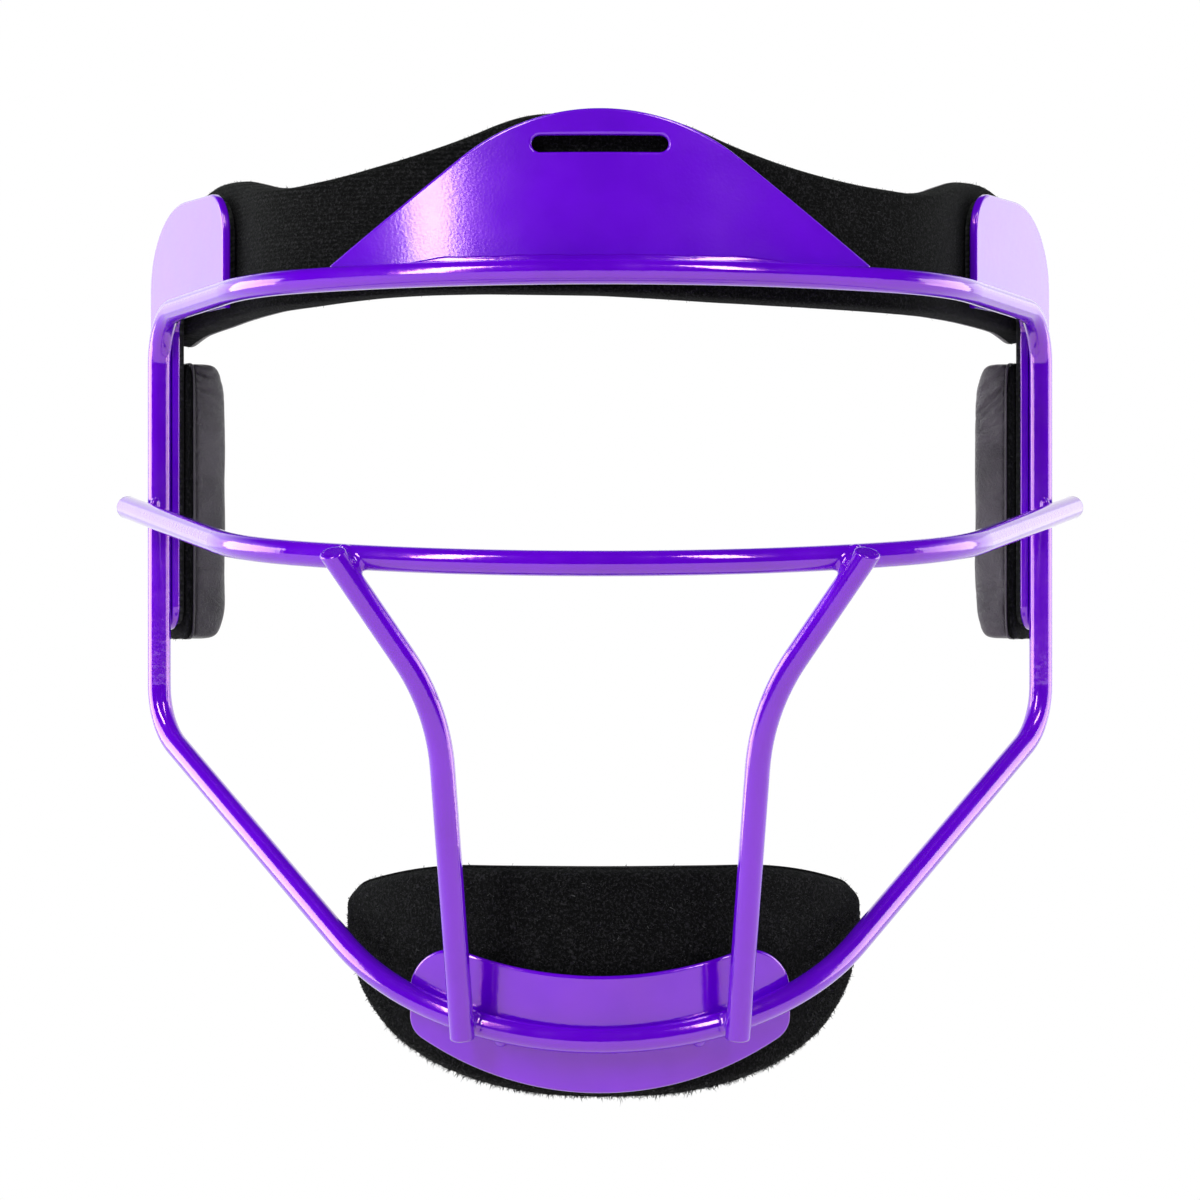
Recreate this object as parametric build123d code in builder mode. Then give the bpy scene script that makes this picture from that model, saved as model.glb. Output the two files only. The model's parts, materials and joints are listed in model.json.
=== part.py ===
"""Softball fielder's face guard: a welded wire cage with plates and peel-off pads.

Millimetres. The front faces -Y, +X is the wearer's left, +Z is up. The origin is on the
mid-plane, level with the side wires and half way up the cheek pads.
"""

import os
from collections import namedtuple
from math import acos, asin, atan2, cos, degrees, hypot, radians, sin, sqrt, tan

from build123d import *

os.makedirs("parts", exist_ok=True)

# Wire, sheet and fabric
wire_diameter = 5.0
weld_sink = 0.2
plate_thickness = 1.8
plate_edge_radius = 0.6
hook_thickness = 1.2
hook_margin = 2.5
pad_gap = 0.3
facing_thickness = 1.5
lining_thickness = 1.0

# Whole cage
cage_half_width = 95.4
cage_flare = 23.5
cheek_reach = 105.2

# Brow bar
brow_set_back = 27.2
brow_front_height = 45.0
brow_corner_height = 41.7
brow_front_turn = 30.0
brow_corner_share = 0.333
brow_joint_setback = 14.0
upper_bend_radius = 11.0

# Cheek bar
cheek_front_height = -13.0
cheek_rear_height = -0.6
cheek_flare = 20.0
cheek_front_turn = 35.0
cheek_corner_share = 0.43
cheek_overhang = 6.5

# Lower loop
jaw_corner_height = -47.0
chin_radius_share = 0.6319
chin_set_back = 22.2
chin_height = -106.8
lower_bend_radius = 15.0

# Nose bars
nose_top_share = 0.5388
nose_bend_share = 0.33
nose_bottom_share = 0.2862
nose_bend_height = -41.1
nose_bend_radius = 45.0
nose_overhang = 3.2
nose_head_overhang = 0.85
nose_head_slope_angle = 15.0
nose_head_tilt_angle = 24.0
nose_head_rounding = 0.4

# Brow plate
brow_plate_share = 0.5713
brow_plate_rise = 33.3
brow_plate_lap = 1.6
brow_plate_lean_angle = 8.0
brow_plate_top_radius = 45.0
brow_plate_side_height = 4.05
brow_plate_corner = 3.0
strap_slot_length = 27.3
strap_slot_width = 3.4
brow_slot_drop = 7.2

# Temple plates, measured along the flare from the side wire and up from the origin
temple_lobe_front = -36.0
temple_lobe_top = 65.5
temple_lobe_front_radius = 9.0
temple_lobe_rear_length = 24.0
temple_lobe_rear_height = 18.0
temple_lobe_bottom = 41.0
temple_strip_front = -1.5
temple_strip_rear = 14.5
temple_strip_bottom = -26.5
temple_inside_radius = 3.0
temple_end_radius = 5.0
temple_slot_height = 16.0
temple_slot_margin = 3.2
temple_hook_width = 8.0

# Chin plate, in heights above and below the front of the chin wire
chin_plate_share = 0.735
chin_plate_rise = 12.5
chin_plate_end_rise = 21.4
chin_plate_drop = 10.6
chin_plate_end_drop = -0.8
chin_plate_top_corner = 8.5
chin_plate_low_corner = 5.0

# Weld beads
wire_weld_radius = 3.5
tack_weld_radius = 1.5
tack_weld_along = 2.1
tack_weld_out = 0.8
side_tack_heights = (26.0, 8.0, -16.0)
chin_tack_spread = 20.0
brow_weld_half_width = 40.0
brow_weld_width = 1.7
brow_weld_rise = 2.4
brow_weld_foot = 0.8

# Forehead pad
forehead_foam = 6.5
forehead_thin = 3.0
forehead_pad_inset = 0.1
forehead_pad_rise = 32.0
forehead_pad_drop = 4.0
forehead_pad_rear_drop = 12.0
forehead_pad_flat_share = 0.62
forehead_pad_rear = 14.0
forehead_wing_length = 59.0
forehead_wing_drop = 9.0
forehead_wing_upper_radius = 15.0
forehead_wing_lower_radius = 8.0

# Cheek pads, measured like the temple plates
cheek_foam = 6.8
cheek_pad_front = -1.5
cheek_pad_rear = 19.0
cheek_pad_top = 31.4
cheek_pad_bottom = -28.4
cheek_pad_corner = 7.0
cheek_pad_draw = 4.0

# Chin pad
chin_foam = 8.0
chin_thin = 3.5
chin_pad_margin = 1.0
chin_pad_rise = 33.8
chin_pad_drop = 12.2
chin_pad_end_radius = 62.0
chin_pad_top_corner = 4.5
chin_pad_shoulder_share = 0.62
chin_pad_shoulder_drop = 4.8

# Corners of the pad outlines, as shares of the half width and of the height
forehead_shoulder_shares = (0.285, 0.873)
forehead_dip_shares = (0.625, 0.68)
forehead_peak_shares = (0.815, 0.755)
forehead_tail_shares = (1.0, 0.45)
chin_quarter_shares = (0.455, 0.054)
chin_turn_shares = (0.842, 0.283)
chin_side_shares = (1.0, 0.63)

# Swell of the pads: place across the pad and how far it stands there, then depth and draw
pad_crown_shares = ((0.0, 0.0), (0.14, 0.72), (0.5, 1.0), (0.86, 0.72), (1.0, 0.0))
pillow_shares = ((0.0, 0.0), (0.4, 0.08), (0.8, 0.4), (1.0, 1.0))

# Working values
overrun = 30.0
quarter_turn = 90.0
wire_radius = wire_diameter / 2
brow_reach = cheek_reach - brow_set_back
chin_reach = cheek_reach - chin_set_back
nose_top_spread = cage_half_width * nose_top_share
nose_bend_spread = cage_half_width * nose_bend_share
nose_bottom_spread = cage_half_width * nose_bottom_share
brow_plate_half_width = cage_half_width * brow_plate_share
brow_plate_top = brow_front_height + brow_plate_rise

# A curve of the cage in its own plane: a wide front arc, a tighter corner and a flared side
Arch = namedtuple("Arch", "reach half_width flare front_turn corner_share")


def arch_radii(arch):
    """Front and corner radius that take the curve from its front to its width at the side wires."""
    slope = tan(radians(arch.flare))
    turn = radians(arch.front_turn)
    front_part = sin(turn) - slope * (1 - cos(turn))
    corner_part = 1 / cos(radians(arch.flare)) - sin(turn) - slope * cos(turn)
    front = (arch.half_width - arch.reach * slope) / (front_part + arch.corner_share * corner_part)
    return front, front * arch.corner_share


def side_run(arch, rear):
    """Length of the straight flared side, from the corner to a place behind the side wires."""
    front, corner = arch_radii(arch)
    turn = radians(arch.front_turn)
    corner_end = front - arch.reach - (front - corner) * cos(turn) - corner * sin(radians(arch.flare))
    return (rear - corner_end) / cos(radians(arch.flare))


def draw_arch(arch, inset, run):
    """Draw the curve, set inwards by inset, on both sides of the mid-plane. Returns its right end."""
    front_radius, corner_radius = arch_radii(arch)
    corner_turn = quarter_turn - arch.flare - arch.front_turn
    front = JernArc((0, inset - arch.reach), (1, 0), front_radius - inset, arch.front_turn)
    corner = JernArc(front @ 1, front % 1, corner_radius - inset, corner_turn)
    side = Line(corner @ 1, corner @ 1 + (corner % 1) * run)
    mirror([front, corner, side], about=Plane.YZ)
    return side @ 1


def band_face(arch, near, far, run):
    """Plan face of the strip between two insets of the curve."""
    with BuildSketch() as face:
        with BuildLine():
            near_end = draw_arch(arch, near, run)
            far_end = draw_arch(arch, far, run)
            close = Line(near_end, far_end)
            mirror(close, about=Plane.YZ)
        make_face()
    return face.sketch


def tilted_plane(rear_height, front_height, reach):
    """A plane through the X direction that climbs from the side wires to the front."""
    angle = degrees(atan2(front_height - rear_height, reach))
    return Plane(origin=(0, 0, rear_height)).rotated((-angle, 0, 0))


def start_plane(path):
    """Plane square to a path at its start."""
    return Plane(origin=path.line @ 0, z_dir=path.line % 0)


def crossing_gap(first, second):
    """Distance along Y between two wire lines that cross in the front view and touch."""
    separation = first.cross(second).normalized()
    return (wire_diameter - weld_sink) / abs(separation.Y)


def rims(plate):
    """Edges round the two broad faces of a plate."""
    return plate.faces().sort_by(SortBy.AREA)[-2:].edges()


def write(piece, name):
    """Label a finished piece and write it as a STEP file."""
    piece.label = name
    export_step(piece, f"parts/{name}.step")


# Curves and planes of the cage
brow_arch = Arch(brow_reach, cage_half_width, cage_flare, brow_front_turn, brow_corner_share)
brow_plane = tilted_plane(brow_corner_height, brow_front_height, brow_reach)
cheek_half_width = cage_half_width + (wire_diameter - weld_sink) / cos(radians(cheek_flare))
cheek_slope_reach = hypot(cheek_reach, cheek_front_height - cheek_rear_height)
cheek_arch = Arch(cheek_slope_reach, cheek_half_width, cheek_flare, cheek_front_turn, cheek_corner_share)
cheek_plane = tilted_plane(cheek_rear_height, cheek_front_height, cheek_reach)
jaw_plane = tilted_plane(jaw_corner_height, chin_height, chin_reach)

# Lower loop: straight jaws that meet one arc round the chin
jaw_slope_reach = hypot(chin_reach, chin_height - jaw_corner_height)
chin_arc_radius = cage_half_width * chin_radius_share
chin_centre_reach = jaw_slope_reach - chin_arc_radius
jaw_angle = acos(chin_arc_radius / hypot(cage_half_width, chin_centre_reach)) - atan2(
    chin_centre_reach, cage_half_width
)
chin_arc_turn = quarter_turn - degrees(jaw_angle)
chin_arc_half = chin_arc_radius * cos(jaw_angle)
chin_arc_back = jaw_slope_reach - chin_arc_radius * (1 - sin(jaw_angle))
jaw_end = jaw_plane.from_local_coords(Vector(chin_arc_half, -chin_arc_back, 0))
upper_corner = Vector(cage_half_width, 0, brow_corner_height)
lower_corner = Vector(cage_half_width, 0, jaw_corner_height)
brow_wire_arch = brow_arch._replace(reach=hypot(brow_reach, brow_front_height - brow_corner_height))
brow_side_run = side_run(brow_wire_arch, 0) - brow_joint_setback
brow_side_step = Vector(sin(radians(cage_flare)), cos(radians(cage_flare)), 0)
brow_end = upper_corner - (
    brow_plane.from_local_coords(brow_side_step) - brow_plane.origin
) * brow_joint_setback

with BuildPart() as brow_bar:
    with BuildLine(brow_plane) as path:
        draw_arch(brow_wire_arch, 0, brow_side_run)
    with BuildSketch(start_plane(path)):
        Circle(wire_radius)
    sweep()

with BuildPart() as left_side_wire:
    with BuildLine() as path:
        FilletPolyline(
            brow_end, upper_corner, lower_corner, jaw_end,
            radius=[upper_bend_radius, lower_bend_radius],
        )
    with BuildSketch(start_plane(path)):
        Circle(wire_radius)
    sweep()

with BuildPart() as right_side_wire:
    mirror(left_side_wire.part, about=Plane.YZ)

with BuildPart() as chin_bar:
    with BuildLine(jaw_plane) as path:
        half_arc = JernArc((0, -jaw_slope_reach), (1, 0), chin_arc_radius, chin_arc_turn)
        mirror(half_arc, about=Plane.YZ)
    with BuildSketch(start_plane(path)):
        Circle(wire_radius)
    sweep()

with BuildPart() as cheek_bar:
    with BuildLine(cheek_plane) as path:
        draw_arch(cheek_arch, 0, side_run(cheek_arch, cheek_overhang))
    with BuildSketch(start_plane(path)):
        Circle(wire_radius)
    sweep()


def on_chin_arc(spread):
    """Point and direction of the chin wire at a distance from the mid-plane."""
    drop = sqrt(chin_arc_radius**2 - spread**2)
    point = jaw_plane.from_local_coords(Vector(spread, chin_arc_radius - jaw_slope_reach - drop, 0))
    along = jaw_plane.from_local_coords(Vector(drop, spread, 0)) - jaw_plane.origin
    return point, along


def on_cheek_arc(spread):
    """Point and direction of the cheek wire at a distance from the mid-plane."""
    radius = arch_radii(cheek_arch)[0]
    drop = sqrt(radius**2 - spread**2)
    point = cheek_plane.from_local_coords(Vector(spread, radius - cheek_slope_reach - drop, 0))
    along = cheek_plane.from_local_coords(Vector(drop, spread, 0)) - cheek_plane.origin
    return point, along


# Nose bars touch the front of the cheek bar above and of the chin bar below
cheek_cross, cheek_along = on_cheek_arc(nose_top_spread)
chin_cross, chin_along = on_chin_arc(nose_bottom_spread)
upper_rise = Vector(nose_top_spread - nose_bend_spread, 0, cheek_cross.Z - nose_bend_height)
lower_rise = Vector(nose_bend_spread - nose_bottom_spread, 0, nose_bend_height - chin_cross.Z)
nose_top = cheek_cross - Vector(0, crossing_gap(cheek_along, upper_rise), 0)
nose_bottom = chin_cross - Vector(0, crossing_gap(chin_along, lower_rise), 0)
nose_rise = nose_top - nose_bottom
nose_plane = Plane(
    origin=(0, nose_bottom.Y, nose_bottom.Z),
    x_dir=(1, 0, 0),
    z_dir=(0, -nose_rise.Z, nose_rise.Y),
)
nose_length = hypot(nose_rise.Y, nose_rise.Z)
nose_bend_along = nose_length * (nose_bend_height - nose_bottom.Z) / nose_rise.Z
nose_bend = Vector(nose_bend_spread, nose_bend_along)
nose_low = Vector(nose_bottom_spread, 0)
nose_high = Vector(nose_top_spread, nose_length)
nose_low = nose_low - (nose_bend - nose_low).normalized() * nose_overhang
nose_lean = (nose_high - nose_bend).normalized()
nose_head = nose_high + nose_lean * nose_head_overhang
nose_high = nose_high + nose_lean * nose_overhang
head_tilt = radians(nose_head_tilt_angle)
head_slope = radians(nose_head_slope_angle)
head_cut = Plane(
    origin=nose_plane.from_local_coords(nose_head),
    z_dir=(sin(head_slope) * cos(head_tilt), -sin(head_tilt), cos(head_slope) * cos(head_tilt)),
)

with BuildPart() as left_nose_bar:
    with BuildLine(nose_plane) as path:
        FilletPolyline(
            (nose_low.X, nose_low.Y), (nose_bend.X, nose_bend.Y), (nose_high.X, nose_high.Y),
            radius=nose_bend_radius,
        )
    with BuildSketch(start_plane(path)):
        Circle(wire_radius)
    sweep()
    split(bisect_by=head_cut, keep=Keep.BOTTOM)
    fillet(left_nose_bar.faces().sort_by(Axis.Z)[-1].edges(), nose_head_rounding)

with BuildPart() as right_nose_bar:
    mirror(left_nose_bar.part, about=Plane.YZ)


def leaned(height):
    """The brow curve at a height, drawn back by the lean of the brow plate."""
    back = (height - brow_front_height) * tan(radians(brow_plate_lean_angle))
    return brow_arch._replace(reach=brow_reach - back)


def brow_band(near, far, low, high, rear):
    """Leaning strip behind the brow bar, between two insets and two heights."""
    with BuildPart() as band:
        for height in (low, high):
            with BuildSketch(Plane.XY.offset(height)):
                add(band_face(leaned(height), near, far, side_run(brow_arch, rear)))
        loft()
    return band.part


# Layers behind the brow bar and side wires, from the wire line inwards
plate_face = wire_radius
plate_back = plate_face + plate_thickness
hook_back = plate_back + hook_thickness
pad_face = hook_back + pad_gap
facing_back = pad_face + facing_thickness

brow_plate_low = brow_front_height - brow_plate_lap
brow_shoulder_drop = brow_plate_top - brow_plate_low - brow_plate_side_height - brow_plate_top_radius
shoulder = asin(brow_plate_top_radius / hypot(brow_plate_half_width, brow_shoulder_drop)) + atan2(
    brow_shoulder_drop, brow_plate_half_width
)


def brow_outline(margin, top):
    """Bell outline of the brow plate, drawn in by a margin, up to a height."""
    side = brow_plate_half_width - margin
    low = brow_plate_low + margin
    crown_radius = brow_plate_top_radius - margin
    crown_half = crown_radius * sin(shoulder)
    crown_end = brow_plate_top - margin - crown_radius * (1 - cos(shoulder))
    side_top = crown_end - (side - crown_half) * tan(shoulder)
    with BuildSketch() as outline:
        with BuildLine():
            crown = JernArc((0, brow_plate_top - margin), (1, 0), crown_radius, -degrees(shoulder))
            slope = Line(crown @ 1, (side, side_top))
            edge = Line(slope @ 1, (side, low))
            base = Line(edge @ 1, (0, low))
            mirror([crown, slope, edge, base], about=Plane.YZ)
        make_face()
        with Locations((0, top)):
            Rectangle(2 * side, overrun, align=(Align.CENTER, Align.MIN), mode=Mode.SUBTRACT)
    return outline.sketch


with BuildPart() as brow_plate:
    add(brow_band(plate_face, plate_back, brow_plate_low - overrun, brow_plate_top + overrun, 0))
    with BuildSketch(Plane.XZ) as outline:
        add(brow_outline(0, brow_plate_top))
        fillet(outline.vertices().group_by(Axis.Y)[0], brow_plate_corner)
    extrude(amount=brow_reach + overrun, mode=Mode.INTERSECT)
    with BuildSketch(Plane.XZ):
        with Locations((0, brow_plate_top - brow_slot_drop)):
            SlotOverall(strap_slot_length, strap_slot_width)
    extrude(amount=brow_reach + overrun, mode=Mode.SUBTRACT)
    fillet(rims(brow_plate), plate_edge_radius)

brow_hook_top = brow_plate_top - brow_slot_drop - strap_slot_width / 2 - hook_margin

with BuildPart() as brow_hook_strip:
    add(brow_band(plate_back, hook_back, brow_plate_low - overrun, brow_plate_top + overrun, 0))
    with BuildSketch(Plane.XZ) as outline:
        add(brow_outline(hook_margin, brow_hook_top))
    extrude(amount=brow_reach + overrun, mode=Mode.INTERSECT)

# Temple plates lie flat against the flared sides, just inside the side wire
flare = radians(cage_flare)
wire_line = Vector(cage_half_width, 0, 0)
outward = Vector(cos(flare), -sin(flare), 0)


def temple_plane(inset):
    """Plane along the flared side, set in from the side wire's centre line."""
    return Plane(origin=wire_line - outward * inset, x_dir=(sin(flare), cos(flare), 0), z_dir=outward)


def temple_outline(margin):
    """Lobe above the brow bar and strip down behind the side wire, drawn in by a margin."""
    front, rear = temple_lobe_front + margin, temple_strip_rear - margin
    top, bottom = temple_lobe_top - margin, temple_strip_bottom + margin
    lobe_bottom, strip_front = temple_lobe_bottom + margin, temple_strip_front + margin
    length, height = temple_lobe_rear_length - margin, temple_lobe_rear_height - margin
    with BuildSketch() as outline:
        with BuildLine():
            front_edge = Line((front, lobe_bottom), (front, top))
            Line(front_edge @ 1, (rear - length, top))
            EllipticalCenterArc(
                (rear - length, top - height), length, height, start_angle=0, arc_size=quarter_turn,
            )
            Polyline(
                (rear, top - height), (rear, bottom), (strip_front, bottom), (strip_front, lobe_bottom),
            )
            Line((strip_front, lobe_bottom), front_edge @ 0)
        make_face()
        for corner, radius in (
            ((strip_front, lobe_bottom), temple_inside_radius),
            ((front, top), temple_lobe_front_radius - margin),
            ((strip_front, bottom), temple_end_radius - margin),
            ((rear, bottom), temple_end_radius - margin),
        ):
            fillet(outline.vertices().sort_by_distance(corner)[0], radius)
    return outline.sketch


temple_slot_place = temple_strip_rear - temple_slot_margin - strap_slot_width / 2

with BuildPart() as left_temple_plate:
    with BuildSketch(temple_plane(plate_face)):
        add(temple_outline(0))
        with Locations((temple_slot_place, temple_slot_height)):
            SlotOverall(strap_slot_length, strap_slot_width, rotation=quarter_turn, mode=Mode.SUBTRACT)
    extrude(amount=-plate_thickness)
    fillet(rims(left_temple_plate), plate_edge_radius)

with BuildPart() as right_temple_plate:
    mirror(left_temple_plate.part, about=Plane.YZ)

with BuildPart() as left_hook_strip:
    with BuildSketch(temple_plane(plate_back)):
        add(temple_outline(hook_margin / 2))
        with Locations((temple_strip_front + temple_hook_width, temple_lobe_bottom)):
            Rectangle(
                overrun, temple_lobe_bottom - temple_strip_bottom,
                align=(Align.MIN, Align.MAX), mode=Mode.SUBTRACT,
            )
    extrude(amount=-hook_thickness)

with BuildPart() as right_hook_strip:
    mirror(left_hook_strip.part, about=Plane.YZ)

# Chin plate: an upright band that follows the chin wire in plan
chin_plate_half_width = chin_arc_half * chin_plate_share
chin_plate_top = chin_height + chin_plate_rise
chin_plate_end_top = chin_height + chin_plate_end_rise
chin_plate_bottom = chin_height - chin_plate_drop
chin_plate_end_bottom = chin_height - chin_plate_end_drop
chin_pad_half_width = chin_arc_half + chin_pad_margin
chin_pad_top = chin_height + chin_pad_rise
chin_pad_bottom = chin_height - chin_pad_drop
chin_end_drop = (chin_arc_radius - sqrt(chin_arc_radius**2 - chin_plate_half_width**2)) * (
    chin_reach / jaw_slope_reach
)
chin_plan_radius = (chin_plate_half_width**2 + chin_end_drop**2) / (2 * chin_end_drop)
chin_plate_turn = degrees(asin(chin_plate_half_width / chin_plan_radius))
chin_face_half = (chin_plan_radius - pad_face) * sin(radians(chin_plate_turn))
chin_pad_turn = degrees(
    asin(
        sin(radians(chin_plate_turn))
        + (chin_pad_half_width - chin_face_half) / (chin_pad_end_radius - pad_face)
    )
)


def draw_chin_curve(inset):
    """Draw the plan of the chin at an inset: an arc behind the plate and a tighter one at each end."""
    front = JernArc((0, inset - chin_reach), (1, 0), chin_plan_radius - inset, chin_plate_turn)
    end = JernArc(front @ 1, front % 1, chin_pad_end_radius - inset, chin_pad_turn - chin_plate_turn)
    mirror([front, end], about=Plane.YZ)
    return end @ 1


def chin_face(near, far):
    """Plan face of a band between two insets of the chin curve."""
    with BuildSketch() as face:
        with BuildLine():
            close = Line(draw_chin_curve(near), draw_chin_curve(far))
            mirror(close, about=Plane.YZ)
        make_face()
    return face.sketch


def chin_band(near, far, low, high):
    """Upright band between two insets of the chin curve."""
    with BuildPart() as band:
        with BuildSketch(Plane.XY.offset(low)):
            add(chin_face(near, far))
        extrude(amount=high - low)
    return band.part


def chin_plate_outline():
    """Crescent of the chin plate."""
    half = chin_plate_half_width
    with BuildSketch() as outline:
        with BuildLine():
            top = ThreePointArc((-half, chin_plate_end_top), (0, chin_plate_top), (half, chin_plate_end_top))
            low = ThreePointArc(
                (-half, chin_plate_end_bottom), (0, chin_plate_bottom), (half, chin_plate_end_bottom)
            )
            Line(top @ 0, low @ 0)
            Line(top @ 1, low @ 1)
        make_face()
        for end, radius in ((-1, chin_plate_top_corner), (0, chin_plate_low_corner)):
            fillet(outline.vertices().group_by(Axis.Y)[end], radius)
    return outline.sketch


with BuildPart() as chin_plate:
    add(chin_band(plate_face, plate_back, chin_plate_bottom - overrun, chin_plate_end_top + overrun))
    with BuildSketch(Plane.XZ):
        add(chin_plate_outline())
    extrude(amount=chin_reach + overrun, mode=Mode.INTERSECT)
    fillet(rims(chin_plate), plate_edge_radius)

with BuildPart() as chin_hook_strip:
    add(chin_band(plate_back, hook_back, chin_plate_bottom - overrun, chin_plate_end_top + overrun))
    with BuildSketch(Plane.XZ):
        add(chin_plate_outline())
        offset(amount=-hook_margin)
    extrude(amount=chin_reach + overrun, mode=Mode.INTERSECT)

# Weld beads round the crossings of the wires and where the plates meet them
cheek_normal = Vector(cos(radians(cheek_flare)), -sin(radians(cheek_flare)), 0)
cheek_contact = wire_line + cheek_normal * wire_radius
cheek_contact_height = cheek_rear_height - cheek_contact.Y / cheek_reach * (
    cheek_front_height - cheek_rear_height
)
wire_contacts = [
    Vector(cheek_contact.X, cheek_contact.Y, cheek_contact_height),
    (cheek_cross + nose_top) / 2,
    (chin_cross + nose_bottom) / 2,
]

with BuildPart() as wire_welds:
    with Locations(*wire_contacts):
        Sphere(wire_weld_radius)
    for wire in (cheek_bar, left_side_wire, left_nose_bar, chin_bar):
        add(wire.part, mode=Mode.SUBTRACT)
    mirror(about=Plane.YZ)

side_groove = (
    wire_line - outward * (wire_radius - tack_weld_out)
    + Vector(sin(flare), cos(flare), 0) * tack_weld_along
)
chin_tack, chin_tack_along = on_chin_arc(chin_tack_spread)
chin_tack_inward = Vector(-chin_tack_along.Y, chin_tack_along.X, 0).normalized()
chin_groove = chin_tack + chin_tack_inward * (wire_radius - tack_weld_out) - Vector(0, 0, tack_weld_along)

with BuildPart() as plate_welds:
    with Locations(*[side_groove + Vector(0, 0, height) for height in side_tack_heights], chin_groove):
        Sphere(tack_weld_radius)
    for piece in (left_side_wire, left_temple_plate, chin_bar, chin_plate):
        add(piece.part, mode=Mode.SUBTRACT)
    mirror(about=Plane.YZ)

brow_weld_low = brow_front_height + brow_weld_foot
brow_weld_top = brow_front_height + brow_weld_rise

with BuildPart() as brow_weld:
    add(brow_band(plate_face - brow_weld_width, plate_face, brow_weld_low, brow_weld_top, 0))
    with BuildSketch(Plane.XZ):
        with Locations((0, brow_front_height)):
            Rectangle(2 * brow_weld_half_width, overrun)
    extrude(amount=brow_reach + overrun, mode=Mode.INTERSECT)
    for piece in (brow_bar, brow_plate):
        add(piece.part, mode=Mode.SUBTRACT)

# Forehead pad: a winged band whose back swells between its thin edges
forehead_back = facing_back + forehead_foam
forehead_pad_half_width = cage_half_width - forehead_pad_inset
forehead_pad_top = brow_front_height + forehead_pad_rise
forehead_pad_bottom = brow_front_height - forehead_pad_drop
forehead_pad_rear_bottom = brow_front_height - forehead_pad_rear_drop
forehead_wing_front = forehead_pad_rear - forehead_wing_length
forehead_wing_top = forehead_pad_top - forehead_wing_drop


def placed(shares, half_width, bottom, top):
    """A point at a share of a half width and of the height between two levels."""
    across, up = shares
    return half_width * across, bottom + (top - bottom) * up


def forehead_outline():
    """Front outline of the forehead pad, with a dip between the brow plate and each wing."""
    half, low, high = forehead_pad_half_width, forehead_pad_rear_bottom, forehead_pad_top
    shoulder_x, shoulder_z = placed(forehead_shoulder_shares, half, low, high)
    dip = placed(forehead_dip_shares, half, low, high)
    peak = placed(forehead_peak_shares, half, low, high)
    rear = placed(forehead_tail_shares, half, low, high)
    with BuildSketch() as outline:
        with BuildLine():
            crown = ThreePointArc((-shoulder_x, shoulder_z), (0, high), (shoulder_x, shoulder_z))
            wing = Spline(crown @ 1, dip, peak, rear, tangents=(crown % 1, (0, -1)))
            tail = Line(wing @ 1, (half, low))
            drop = Line(tail @ 1, (half * forehead_pad_flat_share, forehead_pad_bottom))
            base = Line(drop @ 1, (0, forehead_pad_bottom))
            mirror([wing, tail, drop, base], about=Plane.YZ)
        make_face()
    return outline.sketch


def wing_profile():
    """Side outline that rounds the rear end of each wing."""
    front = -brow_reach - overrun
    high = forehead_pad_top + overrun
    with BuildSketch() as outline:
        with BuildLine():
            Polyline(
                (front, forehead_pad_rear_bottom - overrun),
                (forehead_wing_front, forehead_pad_rear_bottom - overrun),
                (forehead_wing_front, forehead_pad_rear_bottom),
                (forehead_pad_rear, forehead_pad_rear_bottom),
                (forehead_pad_rear, forehead_wing_top),
                (forehead_wing_front, forehead_wing_top),
                (forehead_wing_front, high),
                (front, high),
                close=True,
            )
        make_face()
        for height, radius in (
            (forehead_pad_rear_bottom, forehead_wing_lower_radius),
            (forehead_wing_top, forehead_wing_upper_radius),
        ):
            fillet(outline.vertices().sort_by_distance((forehead_pad_rear, height))[0], radius)
    return outline.sketch


def crowned_brow_band(near, thin_far, full_far):
    """Leaning band whose far side swells from its low and high edges to the middle."""
    low = forehead_pad_rear_bottom
    with BuildPart() as band:
        for height_share, crown_share in pad_crown_shares:
            height = low + (forehead_pad_top - low) * height_share
            far = thin_far + (full_far - thin_far) * crown_share
            with BuildSketch(Plane.XY.offset(height)):
                add(band_face(leaned(height), near, far, side_run(brow_arch, forehead_pad_rear)))
        loft()
    return band.part


with BuildPart() as forehead_shape:
    with BuildSketch(Plane.XZ.offset(-overrun)):
        add(forehead_outline())
    extrude(amount=brow_reach + 2 * overrun)
    with BuildSketch(Plane.YZ):
        add(wing_profile())
    extrude(amount=cage_half_width + overrun, both=True, mode=Mode.INTERSECT)

with BuildPart() as forehead_pad_facing:
    add(brow_band(pad_face, facing_back, forehead_pad_rear_bottom, forehead_pad_top, forehead_pad_rear))
    add(forehead_shape.part, mode=Mode.INTERSECT)

with BuildPart() as forehead_pad_foam:
    add(crowned_brow_band(facing_back, facing_back + forehead_thin, forehead_back))
    add(forehead_shape.part, mode=Mode.INTERSECT)

with BuildPart() as forehead_pad_lining:
    add(
        crowned_brow_band(
            facing_back, facing_back + forehead_thin + lining_thickness, forehead_back + lining_thickness
        )
    )
    add(forehead_shape.part, mode=Mode.INTERSECT)
    add(forehead_pad_foam.part, mode=Mode.SUBTRACT)


# Cheek pads: a pillow on each temple plate, in a skin that is open towards its backing
def cheek_outline(margin):
    """Outline of the cheek pad, drawn in by a margin."""
    width = cheek_pad_rear - cheek_pad_front - 2 * margin
    height = cheek_pad_top - cheek_pad_bottom - 2 * margin
    middle = ((cheek_pad_rear + cheek_pad_front) / 2, (cheek_pad_top + cheek_pad_bottom) / 2)
    with BuildSketch() as outline:
        with Locations(middle):
            RectangleRounded(width, height, cheek_pad_corner - margin)
    return outline.sketch


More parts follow.
